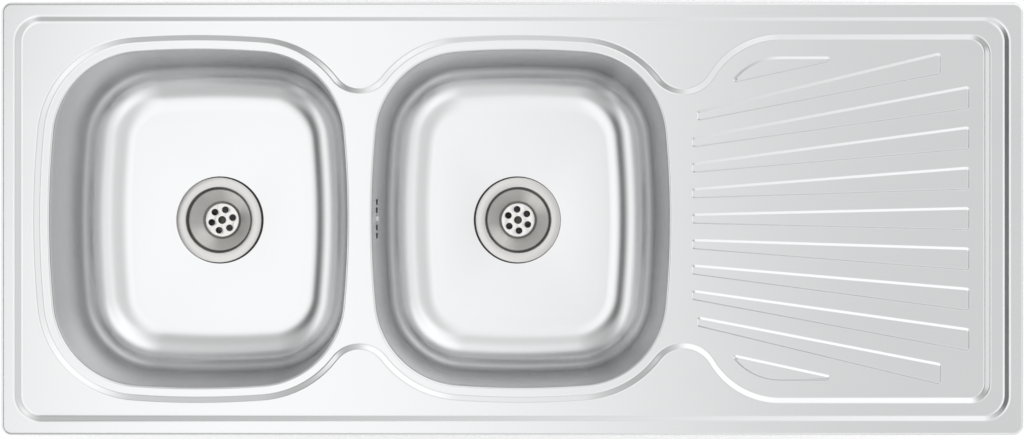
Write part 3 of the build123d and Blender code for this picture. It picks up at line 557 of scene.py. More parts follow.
def applied(data, modifiers):
    """Mesh data after modifiers, each given as its kind and its settings."""
    body = placed("body", data)
    for kind, settings in modifiers:
        modifier = body.modifiers.new(kind.lower(), kind)
        for key, value in settings.items():
            setattr(modifier, key, value)
    bpy.context.view_layer.update()
    result = bpy.data.meshes.new_from_object(body.evaluated_get(bpy.context.evaluated_depsgraph_get()))
    bpy.data.objects.remove(body)
    result.materials.clear()
    return result


def thickened(sheet):
    """Pressed steel: the sheet's upper face is kept, and its thickness goes below."""
    return applied(as_data(sheet), [("SOLIDIFY", {"thickness": SHEET, "offset": -1.0})])


def piece(name, data, material, node, body="sink", sharp=50.0):
    """Turn mesh data into a piece of the sink: shaded smooth, riding on its body, standing for its node."""
    data.name = name
    data.shade_smooth()
    data.set_sharp_from_angle(angle=math.radians(sharp))
    data.materials.append(material)
    made = placed(name, data)
    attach(made, body)
    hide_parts(node)
    return made


print("piece helper ready")

# %% [markdown]
# ## Solid pieces
# Turned parts, prisms and rings use the same rows as the sheet, with a circle or another outline. A solid's
# section runs from its foot, up its outside, to its top, and both ends are filled. A ring's section starts on
# its top, runs in, down the bore and back up its outside. Threads push the points of upright rows inwards.

# %% Solids, rings and threads
AXIS = 0.02 * MM  # a turned section ends this close to its axis
SAME = 0.001 * MM  # places this close are the same


def divided(section, radius, low, high, spacing):
    """The section with more points along its upright stretch at a radius, between two heights."""
    points = [section[0]]
    for a, b in zip(section, section[1:]):
        upright = abs(a[0] - radius) < SAME and abs(b[0] - radius) < SAME
        if upright and min(a[1], b[1]) > low - SAME and max(a[1], b[1]) < high + SAME:
            count = math.ceil(abs(b[1] - a[1]) / spacing)
            points += [Vector(a).lerp(Vector(b), k / count) for k in range(1, count)]
        points.append(b)
    return points


def cut_thread(loops, centre, pitch, depth):
    """Push upright rows inwards along a right-handed helix. The thread fades out at both ends."""
    heights = [loop[0].co.z for loop in loops]
    low, high = min(heights), max(heights)
    for vertex in sum(loops, []):
        ray = vertex.co.xy - centre
        phase = (vertex.co.z / pitch - math.atan2(ray.y, ray.x) / math.tau) % 1.0
        wave = min(1.0, max(0.0, 3.0 * abs(phase - 0.5) - 0.25))
        fade = min(1.0, (vertex.co.z - low) / pitch, (high - vertex.co.z) / pitch)
        vertex.co.xy = centre + ray * (1.0 - depth * wave * fade / ray.length)


def solid(outline, section, ring=False, thread=None):
    """A mesh from one outline. thread is (radius, low, high, pitch, depth), for a circle alone."""
    sheet = Sheet()
    if thread:
        radius, low, high, pitch, depth = thread
        section = divided(section, radius, low, high, pitch / 6)
    loops = sheet.rows(outline, section)
    if thread:
        picked = [abs(r - radius) < SAME and low - SAME < z < high + SAME for r, z in section]
        cut_thread([loop for loop, use in zip(loops, picked) if use], outline[0][0], pitch, depth)
    if ring:
        sheet.join(loops[-1], loops[0])
    else:
        sheet.fill(loops[0], up=False)
        sheet.fill(loops[-1])
    return sheet.mesh


def turned(section, matrix=None, count=48, thread=None):
    """Mesh data of a solid turned round the Z axis, moved by a matrix."""
    return as_data(solid(circle(0.0, 0.0, count), section, thread=thread), matrix)


def rod(radius, low, high):
    return [(AXIS, low), (radius, low), (radius, high), (AXIS, high)]


def prism(chain, section, matrix=None):
    """Mesh data of a solid with a chain of arcs and sides for its outline, moved by a matrix."""
    return as_data(solid(sampled(chain), section), matrix)


def combined(base, added=(), cut=()):
    """Mesh data of a base with solids added to it and then cut from it."""
    tools = [(mesh, "UNION") for mesh in added] + [(mesh, "DIFFERENCE") for mesh in cut]
    helpers, modifiers = [], []
    for mesh, operation in tools:
        helpers.append(placed("tool", mesh))
        modifiers.append(("BOOLEAN", {"operation": operation, "solver": "EXACT", "object": helpers[-1]}))
    result = applied(base, modifiers)
    for helper in helpers:
        bpy.data.objects.remove(helper)
    return result


print("solid helpers ready")

# %% [markdown]
# ## The deck
# The deck is one pressed sheet. From outside in, it has a turned-down edge, the flat rim, a step, a band, and
# the contour: a slope down to the sunk floor that runs round both bowls, dips in at the waists and goes round
# the drainer. Bowl openings roll down into a short lip, and the ribs of the drainer stand up from the floor.

# %% Outlines of the deck
def bowl_outline(x):
    """Chain of a bowl's opening, clockwise from its left side."""
    x1, y2 = HALF_L - END_BOW, HALF_W - SIDE_BOW
    r1, r2 = END_BOW - BOWL_CORNER, SIDE_BOW - BOWL_CORNER
    gap = math.hypot(x1, y2)
    near = (r1 * r1 - r2 * r2 + gap * gap) / (2 * gap)
    off = math.sqrt(r1 * r1 - near * near)
    ux, uy = -x1 / gap, y2 / gap
    cx, cy = max((x1 + ux * near + s * uy * off, uy * near - s * ux * off) for s in (1, -1))
    top = [arc(x - cx, cy, BOWL_CORNER), arc(x, y2, SIDE_BOW), arc(x + cx, cy, BOWL_CORNER)]
    left, right = arc(x - x1, 0.0, END_BOW), arc(x + x1, 0.0, END_BOW)
    return [left] + top + [right] + mirrored(top)


def contour_outline():
    """Chain of the middle of the contour's slope, and its shoulder arc."""
    left = [grown(e, SLOPE_MIDDLE) for e in bowl_outline(BOWL_X["left"])]
    right = [grown(e, SLOPE_MIDDLE) for e in bowl_outline(BOWL_X["right"])]
    _, corner_x, corner_y, corner = left[3]
    middle_x = (BOWL_X["left"] + BOWL_X["right"]) / 2
    climb = math.sqrt((corner + WAIST_BOWLS) ** 2 - (middle_x - corner_x) ** 2)
    lean = math.atan2(climb, middle_x - corner_x)
    waist = arc(middle_x, corner_y + climb, -WAIST_BOWLS)
    reach = corner + WAIST_DRAINER
    second_x, second_y = right[3][1] + reach * math.cos(lean), corner_y + reach * math.sin(lean)
    shoulder_y = DRAINER_Y - SHOULDER
    shoulder_x = second_x + math.sqrt((WAIST_DRAINER + SHOULDER) ** 2 - (second_y - shoulder_y) ** 2)
    shoulder = arc(shoulder_x, shoulder_y, SHOULDER)
    end = arc(DRAINER_X - DRAINER_CORNER, DRAINER_Y - DRAINER_CORNER, DRAINER_CORNER)
    drainer = [arc(second_x, second_y, -WAIST_DRAINER), shoulder, side(0, 1, DRAINER_Y), end]
    top = left[:4] + [waist] + right[1:4] + drainer
    return top + [side(1, 0, DRAINER_X)] + mirrored(top[1:]), shoulder


WAIST_BOWLS = 36.0 * MM
WAIST_DRAINER = 38.0 * MM
SHOULDER = 92.0 * MM
DRAINER_Y = WIDTH / 2 - 40.0 * MM
DRAINER_X = LENGTH / 2 - 41.0 * MM
DRAINER_CORNER = 20.0 * MM
contour, shoulder_arc = contour_outline()
print("contour has", len(contour), "arcs and sides,", len(sampled(contour)), "points")

# %% Outlines of the ribs
RIBS = 9
RIB_RISE = 2.0 * MM
RIB_RUN = 2.4 * MM
RIB_LEAN = 0.45 * MM  # the ribs lean to the front, so their rear sides are the gentler ones
RIB_ROUND = 1.2 * MM
RIB_CORNER = 4.5 * MM
RIB_NARROW = 6.0 * MM  # half of a rib's width at the bowl's end
RIB_WIDENS = 7.5 * MM  # by so much on each side
OUTER_RIB_CUT = (6.0 * MM, 33.0 * MM)  # the outermost ribs are shorter at their ends
RIBS_FROM = BOWL_X["right"] + HALF_L + 25.3 * MM
RIBS_TO = LENGTH / 2 - 61.0 * MM
FAN_INNER = 92.8 * MM
FAN_OUTER = 22.8 * MM
FAN_SLOPE = (FAN_INNER - FAN_OUTER) / (RIBS_TO - RIBS_FROM)
LEAF_INSET = 22.5 * MM
LEAF_SPACING = 29.0 * MM
LEAF_BLUNT = 6.5 * MM
LEAF_CORNER = 3.0 * MM


def fan_line(share, x):
    """Y of a line of the fan, from the middle one, 0, to the outermost, 1."""
    return share * (DRAINER_Y - FAN_INNER + FAN_SLOPE * (x - RIBS_FROM))


def wedge_outline(share):
    near, far = OUTER_RIB_CUT if abs(share) == 1 else (0.0, 0.0)
    x0, x1 = RIBS_FROM + near, RIBS_TO - far
    y0, y1 = fan_line(share, x0), fan_line(share, x1)
    wide = RIB_NARROW + RIB_WIDENS * (x1 - RIBS_FROM) / (RIBS_TO - RIBS_FROM)
    corners = [(x0, y0 - RIB_NARROW), (x0, y0 + RIB_NARROW), (x1, y1 + wide), (x1, y1 - wide)]
    return rounded_polygon(corners, RIB_CORNER)


def leaf_outline():
    """The rear leaf: an arc parallel to the shoulder, a short side, a blunt end and a slanting side."""
    _, x, y, radius = grown(shoulder_arc, -LEAF_INSET)
    top = DRAINER_Y - LEAF_INSET
    end = RIBS_FROM + (FAN_INNER - LEAF_INSET - LEAF_BLUNT - LEAF_SPACING) / FAN_SLOPE
    slant = math.hypot(FAN_SLOPE, 1.0)
    lower = side(FAN_SLOPE / slant, -1 / slant, (FAN_SLOPE * end - (top - LEAF_BLUNT)) / slant)
    back, blunt = arc(x, y, radius), side(1, 0, end)
    tip = touching_arc(back, lower, LEAF_CORNER)
    heel = touching_arc(lower, blunt, LEAF_CORNER)
    toe = arc(end - LEAF_CORNER, top - LEAF_CORNER, LEAF_CORNER)
    return [back, side(0, 1, top), toe, blunt, heel, lower, tip]


def touching_arc(first, second, radius):
    """A small arc inside an outline that touches two of its elements, at their left or lower crossing."""
    first, second = grown(first, -radius), grown(second, -radius)
    if first[0] == "side":
        return arc(*crossing(first, second), radius)
    (_, x, y, size), (_, a, b, c) = first, second
    gap = c - (a * x + b * y)
    off = math.sqrt(size * size - gap * gap)
    return min(arc(x + a * gap + s * b * off, y + b * gap - s * a * off, radius) for s in (1, -1))


leaf = leaf_outline()
rib_outlines = [wedge_outline((2 * i - RIBS + 1) / (RIBS - 1)) for i in range(RIBS)] + [leaf, mirrored(leaf)]
print(len(rib_outlines), "ribs")

# %% The deck's mesh
def deck_sheet():
    sheet = Sheet()
    edge = sampled(rounded_rectangle(LENGTH, WIDTH, OUTER_CORNER))
    step_inset = 2 * RIM_FLAT + STEP_RUN
    step_corner = STEP_CORNER - STEP_RUN / 2
    step = sampled(rounded_rectangle(LENGTH - step_inset, WIDTH - step_inset, step_corner))
    edge_end = (-EDGE_ROLL - HOLD, RIM_TOP)
    edge_rows = sheet.rows(edge, bent([(0.0, 0.0), (0.0, RIM_TOP), edge_end], EDGE_ROLL))
    step_rows = sheet.rows(step, slope(STEP_RUN, STEP_DROP, STEP_ROUND, RIM_TOP))
    contour_rows = sheet.rows(sampled(contour), slope(SINK_RUN, SINK_DROP, SINK_ROUND, BAND_TOP))
    sheet.fill(edge_rows[-1], step_rows[0])
    sheet.fill(step_rows[-1], contour_rows[0])
    holes = []
    for x in BOWL_X.values():
        mouth = [(MOUTH_ROLL + HOLD, FLOOR_TOP), (0.0, FLOOR_TOP), (0.0, WELD_Z)]
        holes.append(sheet.rows(sampled(bowl_outline(x)), bent(mouth, MOUTH_ROLL))[0])
    for outline in rib_outlines:
        middle_line = [grown(e, -RIB_RUN / 2) for e in outline]
        rib_rows = sheet.rows(sampled(middle_line), slope(RIB_RUN, -RIB_RISE, RIB_ROUND, FLOOR_TOP))
        for vertex in sum(rib_rows, []):
            vertex.co.y -= RIB_LEAN * (vertex.co.z - FLOOR_TOP) / RIB_RISE
        holes.append(rib_rows[0])
        sheet.fill(rib_rows[-1])
    sheet.fill(contour_rows[-1], *holes)
    return sheet.mesh


deck = piece("deck_sheet", thickened(deck_sheet()), deck_steel, "deck", sharp=35.0)
print("deck has", len(deck.data.polygons), "faces")

# %% [markdown]
# ## The bowls
# Each bowl is drawn from flat sheet, so its walls lean in by five degrees and meet the floor in a wide round.
# The floor falls a little towards the waste. It is welded under the lip of the deck, and the weld is ground
# smooth.

# %% The bowls' meshes
FLOOR_FALL = 1.5 * MM
WALL_ROWS = 8
FLOOR_ROWS = 10
WASTE_HOLE = 45.0 * MM


def bowl_sheet(name):
    sheet = Sheet()
    outline = sampled(bowl_outline(BOWL_X[name]))
    foot = -(WELD_Z - BOWL_FLOOR) * math.tan(BOWL_DRAFT)
    floor_edge = BOWL_FLOOR + FLOOR_FALL
    reach = FLOOR_ROUND * math.tan((math.pi / 2 - BOWL_DRAFT) / 2)
    section = bent([(0.0, WELD_Z), (foot, floor_edge), (foot - reach - HOLD, floor_edge)], FLOOR_ROUND)
    wall = [section[0].lerp(section[1], k / WALL_ROWS) for k in range(WALL_ROWS)]
    border = last = sheet.rows(outline, wall + section[1:])[-1]
    centre = WASTE[name].xy
    for k in range(1, FLOOR_ROWS + 1):
        share = k / FLOOR_ROWS
        row = []
        for start in [vertex.co.xy for vertex in border]:
            ray = (start - centre).normalized() * WASTE_HOLE
            place = start.lerp(centre + ray, share)
            row.append(sheet.mesh.verts.new((*place, floor_edge - FLOOR_FALL * share * share)))
        sheet.join(last, row)
        last = row
    return sheet.mesh


print("bowl helper ready")

# %% [markdown]
# The right bowl's left wall has two pairs of overflow slots with a screw hole between them. They are cut
# through the finished wall, square to its slope, by solids that flare where they leave the steel, so every
# cut edge is broken as a punch would leave it.

# %% Overflow slots, and both bowls
OVERFLOW_Z = middle("overflow_gasket").z
SLOT_OFFSETS = [-19.9 * MM, -10.0 * MM, 10.0 * MM, 19.9 * MM]
SLOT_SIZE = (15.0 * MM, 6.5 * MM)
PUNCH = [(0.0, -4.0 * MM), (0.0, -0.35 * MM), (0.35 * MM, 0.0), (0.35 * MM, 3.0 * MM)]
OVERFLOW_SCREW = 2.5 * MM


def square_to_wall(z, y=0.0):
    """A place on the right bowl's left wall, with Z pointing into the bowl and X down the wall."""
    x = BOWL_X["right"] - HALF_L + (WELD_Z - z) * math.tan(BOWL_DRAFT)
    return Matrix.Translation((x, y, z)) @ Matrix.Rotation(math.pi / 2 - BOWL_DRAFT, 4, "Y")


def overflow_punches():
    slot = rounded_rectangle(*SLOT_SIZE, 0.49 * SLOT_SIZE[1])
    punches = [prism(slot, PUNCH, square_to_wall(OVERFLOW_Z, y)) for y in SLOT_OFFSETS]
    hole = [(OVERFLOW_SCREW + grow, z) for grow, z in PUNCH]
    return punches + [turned(hole, square_to_wall(OVERFLOW_Z), 32)]


for name in BOWL_X:
    steel = thickened(bowl_sheet(name))
    if name == "right":
        steel = combined(steel, cut=overflow_punches())
    shell = piece(name + "_bowl_shell", steel, bowl_steel, name + "_bowl", sharp=35.0)
    print(shell.name, len(shell.data.polygons), "faces")

# %% [markdown]
# ## The strainer cups
# Each cup is one turned pressing: a flat flange, a steep step, a finely ribbed cone and a raised disc with
# six holes round the screw. The upper and lower faces are two sets of rows, joined at the rim and in every
# hole.

# %% Strainer cups
FLANGE_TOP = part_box("left_strainer_cup")[1].z
CUP_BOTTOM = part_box("left_strainer_cup")[0].z
DRAIN_HOLES = 6
DRAIN_HOLE = 4.1 * MM
DRAIN_PITCH = 13.5 * MM
SCREW_HOLE = 3.1 * MM
WASTE_TURN = {"left": math.radians(17.0), "right": math.radians(-5.0)}
CONE_RIBS = 24
CONE_RIB = 0.05  # height of the fine ribs; this cell's sections are in millimetres
DISC_Z = -23.2
FLANGE_SECTION = [(53.0, -1.0), (53.2, -0.8), (53.2, -0.5), (52.9, -0.15), (52.4, 0.0), (42.0, 0.0)]
STEP_SECTION = [(41.5, -0.1), (41.1, -0.4), (40.9, -1.0), (39.5, -6.6), (39.2, -7.4),
                (38.8, -7.8), (38.4, -8.0)]
CONE_TOP, CONE_FOOT = Vector((37.9, -8.2)), Vector((23.9, -23.4))
FOOT_SECTION = [(23.0, -24.2), (22.3, -24.6), (21.8, -24.6), (21.4, -24.1), (21.2, -23.6),
                (20.8, -23.3), (20.3, DISC_Z)]
UNDER_SECTION = [(20.0, -24.2), (21.0, -25.0), (24.0, -25.0), (38.4, -9.1), (39.4, -8.9), (40.0, -8.2),
                 (41.7, -2.2), (42.0, -1.2), (42.6, -1.0)]


def strainer_cup(name):
    centre = WASTE[name].xy
    wave = Vector((0.0, CONE_RIB))
    ribs = [CONE_TOP.lerp(CONE_FOOT, k / CONE_RIBS) + (-1) ** k * wave for k in range(CONE_RIBS)]
    upper = FLANGE_SECTION + STEP_SECTION + ribs + FOOT_SECTION
    cup = Sheet()
    over = cup.rows(circle(*centre), [(r * MM, FLANGE_TOP + z * MM) for r, z in upper])
    under = cup.rows(circle(*centre), [(r * MM, FLANGE_TOP + z * MM) for r, z in UNDER_SECTION])
    cup.join(under[-1], over[0])
    disc = FLANGE_TOP + DISC_Z * MM
    holes = [(Vector((0.0, 0.0)), SCREW_HOLE)]
    for i in range(DRAIN_HOLES):
        angle = math.pi / 2 - WASTE_TURN[name] + math.tau * i / DRAIN_HOLES
        holes.append((DRAIN_PITCH * Vector((math.cos(angle), math.sin(angle))), DRAIN_HOLE))
    edges = []
    for place, r in holes:
        wall = [(r + 0.35 * MM, disc), (r + 0.1 * MM, disc - 0.08 * MM), (r, disc - 0.3 * MM), (r, disc - MM)]
        edges.append(cup.rows(circle(*(centre + place), count=32), wall))
    cup.fill(over[-1], *[rows[0] for rows in edges])
    cup.fill(under[0], *[rows[-1] for rows in edges], up=False)
    return cup.mesh


for name in BOWL_X:
    cup, node = as_data(strainer_cup(name)), name + "_strainer_cup"
    cup = piece(name + "_cup", cup, strainer_steel[name], node)
    print(cup.name, len(cup.data.polygons), "faces")

# %% [markdown]
# ## Screws with a cross recess
# The waste screw and the overflow screw have the same form: a domed head, a cross recess that narrows as it
# goes down, and a threaded shank. The recess is cut with a boolean, because it has no outline of its own.

# %% Cross-head screws
RECESS_ARM = (1.44, 0.36, 0.15)  # length, width and corner, as shares of the head's radius


def cross_screw(radius, length, head_radius, head_height, pitch):
    """A screw whose head sits on the origin and whose shank hangs down."""
    foot = [(AXIS, -length), (radius - 0.5 * MM, -length), (radius, -length + 0.6 * MM), (radius, 0.0)]
    skirt = 0.35 * MM
    angles = [math.radians(10 * k) for k in range(9)]
    dome = [(head_radius * math.cos(a), skirt + (head_height - skirt) * math.sin(a)) for a in angles]
    section = foot + [(head_radius - 0.1 * MM, 0.0)] + dome + [(AXIS, head_height)]
    thread = (radius, -length + 0.6 * MM, 0.0, pitch, 0.5 * pitch)
    arm = rounded_rectangle(*(share * head_radius for share in RECESS_ARM))
    walls = [(-0.45 * MM, 0.3 * head_height), (0.15 * MM, head_height + MM)]
    recess = [prism(arm, walls, Matrix.Rotation(turn, 4, "Z")) for turn in (0.0, math.pi / 2)]
    return combined(turned(section, thread=thread), cut=recess)


# The waste screws get the near-black steel: painted shade.
for name in BOWL_X:
    screw = cross_screw(3.0 * MM, 12.0 * MM, 5.0 * MM, 1.8 * MM, 1.0 * MM)
    disc_top = Vector((*WASTE[name].xy, FLANGE_TOP + DISC_Z * MM))
    screw.transform(Matrix.Translation(disc_top) @ Matrix.Rotation(-WASTE_TURN[name], 4, "Z"))
    piece(name + "_cross_screw", screw, painted_shade_steel, name + "_waste_screw")
wall_screw = cross_screw(OVERFLOW_SCREW, 18.0 * MM, 4.6 * MM, 2.4 * MM, 0.8 * MM)
wall_screw.transform(square_to_wall(OVERFLOW_Z) @ Matrix.Translation((0.0, 0.0, 0.05 * MM)))
piece("overflow_cross_screw", wall_screw, screw_steel, "overflow_screw")
print("three cross-head screws")

# %% [markdown]
# ## Gaskets
# Rubber rings are cut or moulded with soft corners. The ring under each flange is a little wider than the
# flange and has slipped sideways, so a thin black crescent shows beside it.

# %% Gaskets under the flanges and on the waste bodies
def gasket(node, wall, corner):
    """A ring of rubber in the space of its node."""
    low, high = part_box(node)
    centre, outer = middle(node).xy, (high.x - low.x) / 2
    inner, between = outer - wall, outer - wall / 2
    corners = [(between, high.z), (inner, high.z), (inner, low.z), (outer, low.z), (outer, high.z)]
    section = bent(corners + [(between + SAME, high.z)], corner, math.radians(15.0))
    mesh = solid(circle(*centre), section, ring=True)
    return piece(node + "_ring", as_data(mesh), black_rubber, node)


for name in BOWL_X:
    gasket(name + "_flange_gasket", 9.5 * MM, 0.8 * MM)
    gasket(name + "_body_gasket", 10.0 * MM, 0.5 * MM)
print("gaskets ready")

# %% [markdown]
# ## Waste bodies
# Below each bowl hangs a moulded body: a wide flange that the gasket presses on, a chamber, a funnel and a
# threaded tail for the trap. Inside, a spider of three arms holds the screw's boss. The thread is real: it is
# cut into the rows of the tail. The right body also has the inlet of the overflow.

# %% Waste bodies
TAIL_THREAD = (2.309 * MM, 1.35 * MM)  # pitch and depth
BODY_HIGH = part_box("left_waste_body")[1].z
TAIL_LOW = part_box("left_waste_body")[0].z
TAIL_R, TAIL_BORE = 23.9 * MM, 20.5 * MM
BODY_FLANGE, BODY_WIDE, BODY_BORE = 57.0 * MM, 46.0 * MM, 43.5 * MM
BODY_DEEP, THROAT = BODY_HIGH - 34.0 * MM, BODY_HIGH - 48.0 * MM
SPIDER_TOP, SPIDER_LOW = CUP_BOTTOM - 0.5 * MM, CUP_BOTTOM - 10.5 * MM
BOSS_TOP = FLANGE_TOP - 24.2 * MM
SPIDER_ARMS = 3
INLET_Z = middle("overflow_bottom_nut").z
INLET = (12.25 * MM, 44.75 * MM, 66.0 * MM)  # radius, start and end, from the waste's middle
INLET_BORES = [(8.5 * MM, 41.0 * MM, 67.0 * MM), (10.05 * MM, 54.0 * MM, 67.0 * MM)]


def waste_body(name):
    centre = Matrix.Translation((*WASTE[name].xy, 0.0))
    middle_r = 50.0 * MM
    bore = [(middle_r, BODY_HIGH), (BODY_BORE, BODY_HIGH), (BODY_BORE, BODY_DEEP), (TAIL_BORE, THROAT)]
    tail = [(TAIL_BORE, TAIL_LOW), (TAIL_R, TAIL_LOW), (TAIL_R, THROAT), (BODY_WIDE, BODY_DEEP)]
    flange_low = BODY_HIGH - 4.0 * MM
    flange = [(BODY_WIDE, flange_low), (BODY_FLANGE, flange_low), (BODY_FLANGE, BODY_HIGH)]
    radii = [radius * MM for radius in (0.5, 4.0, 3.0, 0.8, 0.8, 3.0, 4.0, 2.0, 0.8, 0.8)]
    section = bent(bore + tail + flange + [(middle_r + SAME, BODY_HIGH)], radii)
    thread = (TAIL_R, TAIL_LOW, THROAT, *TAIL_THREAD)
    shell = as_data(solid(circle(0.0, 0.0), section, ring=True, thread=thread), centre)
    arm = rounded_rectangle(BODY_BORE + MM, 2.5 * MM, 0.6 * MM, x=BODY_BORE / 2 + MM)
    inside = []
    for i in range(SPIDER_ARMS):
        turn = math.pi / 2 - WASTE_TURN[name] + math.pi / DRAIN_HOLES + math.tau * i / SPIDER_ARMS
        bar = [(0.0, SPIDER_LOW), (0.0, SPIDER_TOP)]
        inside.append(prism(arm, bar, centre @ Matrix.Rotation(turn, 4, "Z")))
    boss = [(AXIS, SPIDER_LOW), (7.6 * MM, SPIDER_LOW), (8.0 * MM, BOSS_TOP), (AXIS, BOSS_TOP)]
    inside.append(turned(boss, centre))
    holes = [turned(rod(5.0 * MM, BOSS_TOP - 9.0 * MM, BOSS_TOP + MM), centre)]
    if name == "right":
        sideways = centre @ Matrix.Translation((0.0, 0.0, INLET_Z)) @ Matrix.Rotation(-math.pi / 2, 4, "Y")
        inside.append(turned(rod(*INLET), sideways))
        holes += [turned(rod(*bore), sideways) for bore in INLET_BORES]
    return combined(shell, added=inside, cut=holes)


for name in BOWL_X:
    made = waste_body(name)
    body = piece(name + "_waste_cup", made, waste_plastic, name + "_waste_body", sharp=35.0)
    print(body.name, len(body.data.polygons), "faces")

# %% [markdown]
# ## Softened copies of the fixed model
# The small brackets, nuts and boxes have the right shape in the fixed model, but their edges are sharp. A
# copy of each gets its flats merged and its sharp edges rounded, as a die or a mould would leave them.

# %% Softened pieces
SHARP_EDGE = math.radians(40.0)


def softened(node, width):
    mesh = bmesh.new()
    mesh.from_mesh(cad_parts[node].data)
    bmesh.ops.remove_doubles(mesh, verts=mesh.verts, dist=2 * SAME)
    bmesh.ops.dissolve_limit(mesh, angle_limit=math.radians(0.5), verts=mesh.verts, edges=mesh.edges)
    sharp = [edge for edge in mesh.edges if edge.is_manifold and edge.calc_face_angle() > SHARP_EDGE]
    look = {"segments": 2, "profile": 0.5, "affect": "EDGES", "clamp_overlap": True}
    bmesh.ops.bevel(mesh, geom=sharp, offset=width, **look)
    return as_data(mesh)


SOFTENED = {
    "rim_seal": ("foam_strip", 0.8, grey_foam, "grey_foam"),
    "drainer_pad": ("drainer_waffle", 0.5, damping_sheet, "damping_sheet"),
    "left_bowl_pad": ("left_bowl_waffle", 0.5, damping_sheet, "damping_sheet"),
    "right_bowl_pad": ("right_bowl_waffle", 0.5, damping_sheet, "damping_sheet"),
    "earth_tag": ("bonding_tag", 0.3, bracket_steel, "bracket_steel"),
    "overflow_chamber": ("overflow_box", 0.5, waste_plastic, "waste_plastic"),
    "overflow_gasket": ("overflow_box_seal", 0.3, black_rubber, "black_rubber"),
    "overflow_pipe": ("overflow_tube", 0.2, waste_plastic, "waste_plastic"),
    "overflow_top_nut": ("upper_grip_nut", 0.4, waste_plastic, "waste_plastic"),
    "overflow_bottom_nut": ("lower_grip_nut", 0.4, waste_plastic, "waste_plastic"),
    "overflow_seals": ("pipe_seals", 0.3, black_rubber, "black_rubber"),
    "clamp_brackets": ("hat_brackets", 0.3, bracket_steel, "bracket_steel"),
}
for node, (name, width, material, slot) in SOFTENED.items():
    made = piece(name, softened(node, width * MM), material, node, sharp=30.0)
    print(made.name, len(made.data.polygons), "faces")

# %% [markdown]
# ## Fixing clamps
# Eight clamps hang in brackets under the rim. In each, a screw with a flanged hexagon head carries a toothed
# jaw, and turning the screw pulls the jaw up under the worktop. Every screw is a body of its own and every
# jaw another, so their pieces ride on those bodies.

# %% Clamp screws and jaws
CLAMPS = 8
SCREW_LOW, SCREW_HIGH = (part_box("clamp_screw_1")[k].z for k in (0, 1))
HEAD = SCREW_LOW + 4.0 * MM  # top of the hexagon head, foot of its flange
COLLAR = HEAD + 4.0 * MM
SHANK = 2.5 * MM
HEXAGON = 5.2 * MM  # from the screw's middle to a corner of its head
SOCKET = 0.44  # size of the socket in the head, as a share of the head's


def clamp_screw():
    """One clamp screw on the Z axis, with an M5 thread above its collar."""
    flange = [(AXIS, HEAD), (7.0 * MM, HEAD), (7.0 * MM, HEAD + 1.2 * MM), (SHANK, HEAD + 1.2 * MM)]
    collar = [(SHANK, COLLAR), (4.0 * MM, COLLAR), (4.0 * MM, COLLAR + 1.5 * MM), (SHANK, COLLAR + 1.5 * MM)]
    tip = [(SHANK, SCREW_HIGH - 0.5 * MM), (2.0 * MM, SCREW_HIGH), (AXIS, SCREW_HIGH)]
    radii = [radius * MM for radius in (0.35, 0.35, 0.3, 0.2, 0.3, 0.3, 0.2, 0.1, 0.1)]
    section = bent(flange + collar + tip, radii, math.radians(30.0))
    thread = (SHANK, COLLAR + 1.7 * MM, SCREW_HIGH - 0.6 * MM, 0.8 * MM, 0.42 * MM)
    body = turned(section, count=24, thread=thread)
    angles = [-math.tau * k / 6 for k in range(6)]
    corners = [(HEXAGON * math.cos(angle), HEXAGON * math.sin(angle)) for angle in angles]
    walls = [(-0.7 * MM, SCREW_LOW), (0.0, SCREW_LOW + 0.4 * MM), (0.0, HEAD + 0.2 * MM)]
    head = prism(rounded_polygon(corners, 0.25 * MM), walls)
    socket = [(x * SOCKET, y * SOCKET) for x, y in corners]
    key = [(0.0, SCREW_LOW - MM), (0.0, SCREW_LOW + 2.8 * MM)]
    return combined(body, added=[head], cut=[prism(rounded_polygon(socket, 0.05 * MM), key)])


screw_mesh = clamp_screw()
for number in range(1, CLAMPS + 1):
    screw_node, jaw_node = f"clamp_screw_{number}", f"clamp_jaw_{number}"
    place = middle(screw_node)
    copy = screw_mesh.copy()
    copy.transform(Matrix.Translation((place.x, place.y, 0.0)))
    piece(f"clamp_bolt_{number}", copy, zinc_steel, screw_node, f"screw_{number}")
    jaw = softened(jaw_node, 0.3 * MM)
    piece(f"toothed_jaw_{number}", jaw, zinc_steel, jaw_node, f"jaw_{number}", sharp=30.0)
bpy.data.meshes.remove(screw_mesh)
print(CLAMPS, "clamps ready")

# %% [markdown]
# ## The brass inserts
# The threaded inserts sit inside the bosses, and their plain rings need no new shape, only a finish.

# %% Brass inserts keep the fixed model's shape
for name in BOWL_X:
    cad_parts[name + "_screw_insert"].material_slots[0].material = brass
print("inserts dressed")

# %% [markdown]
# ## Light
# Satin steel shows what is around it, so the light here is a room, all in plain grey. A wide ceiling,
# brighter on the left, gives the flats their soft gradient; its middle leans a little to the right and to the
# front. The walls below it draw the bends: a dark corner on the left draws the dark line of the right rim
# step, and a bright wall on the right whitens the edges of the bowls. The walls in front and behind have no
# such corner. Further down, the room is brighter behind the sink than in front, so each rib gets one white
# edge.

# %% World
CEILING_AXIS = (0.14, -0.12, 0.982)
CEILING_EDGE = [(0.82, 0.0), (0.87, 1.0)]  # heights, along that axis, over which one zone turns into the next
WALL_EDGE = [(0.50, 0.0), (0.66, 1.0)]
DADO_EDGE = [(0.12, 0.0), (0.22, 1.0)]
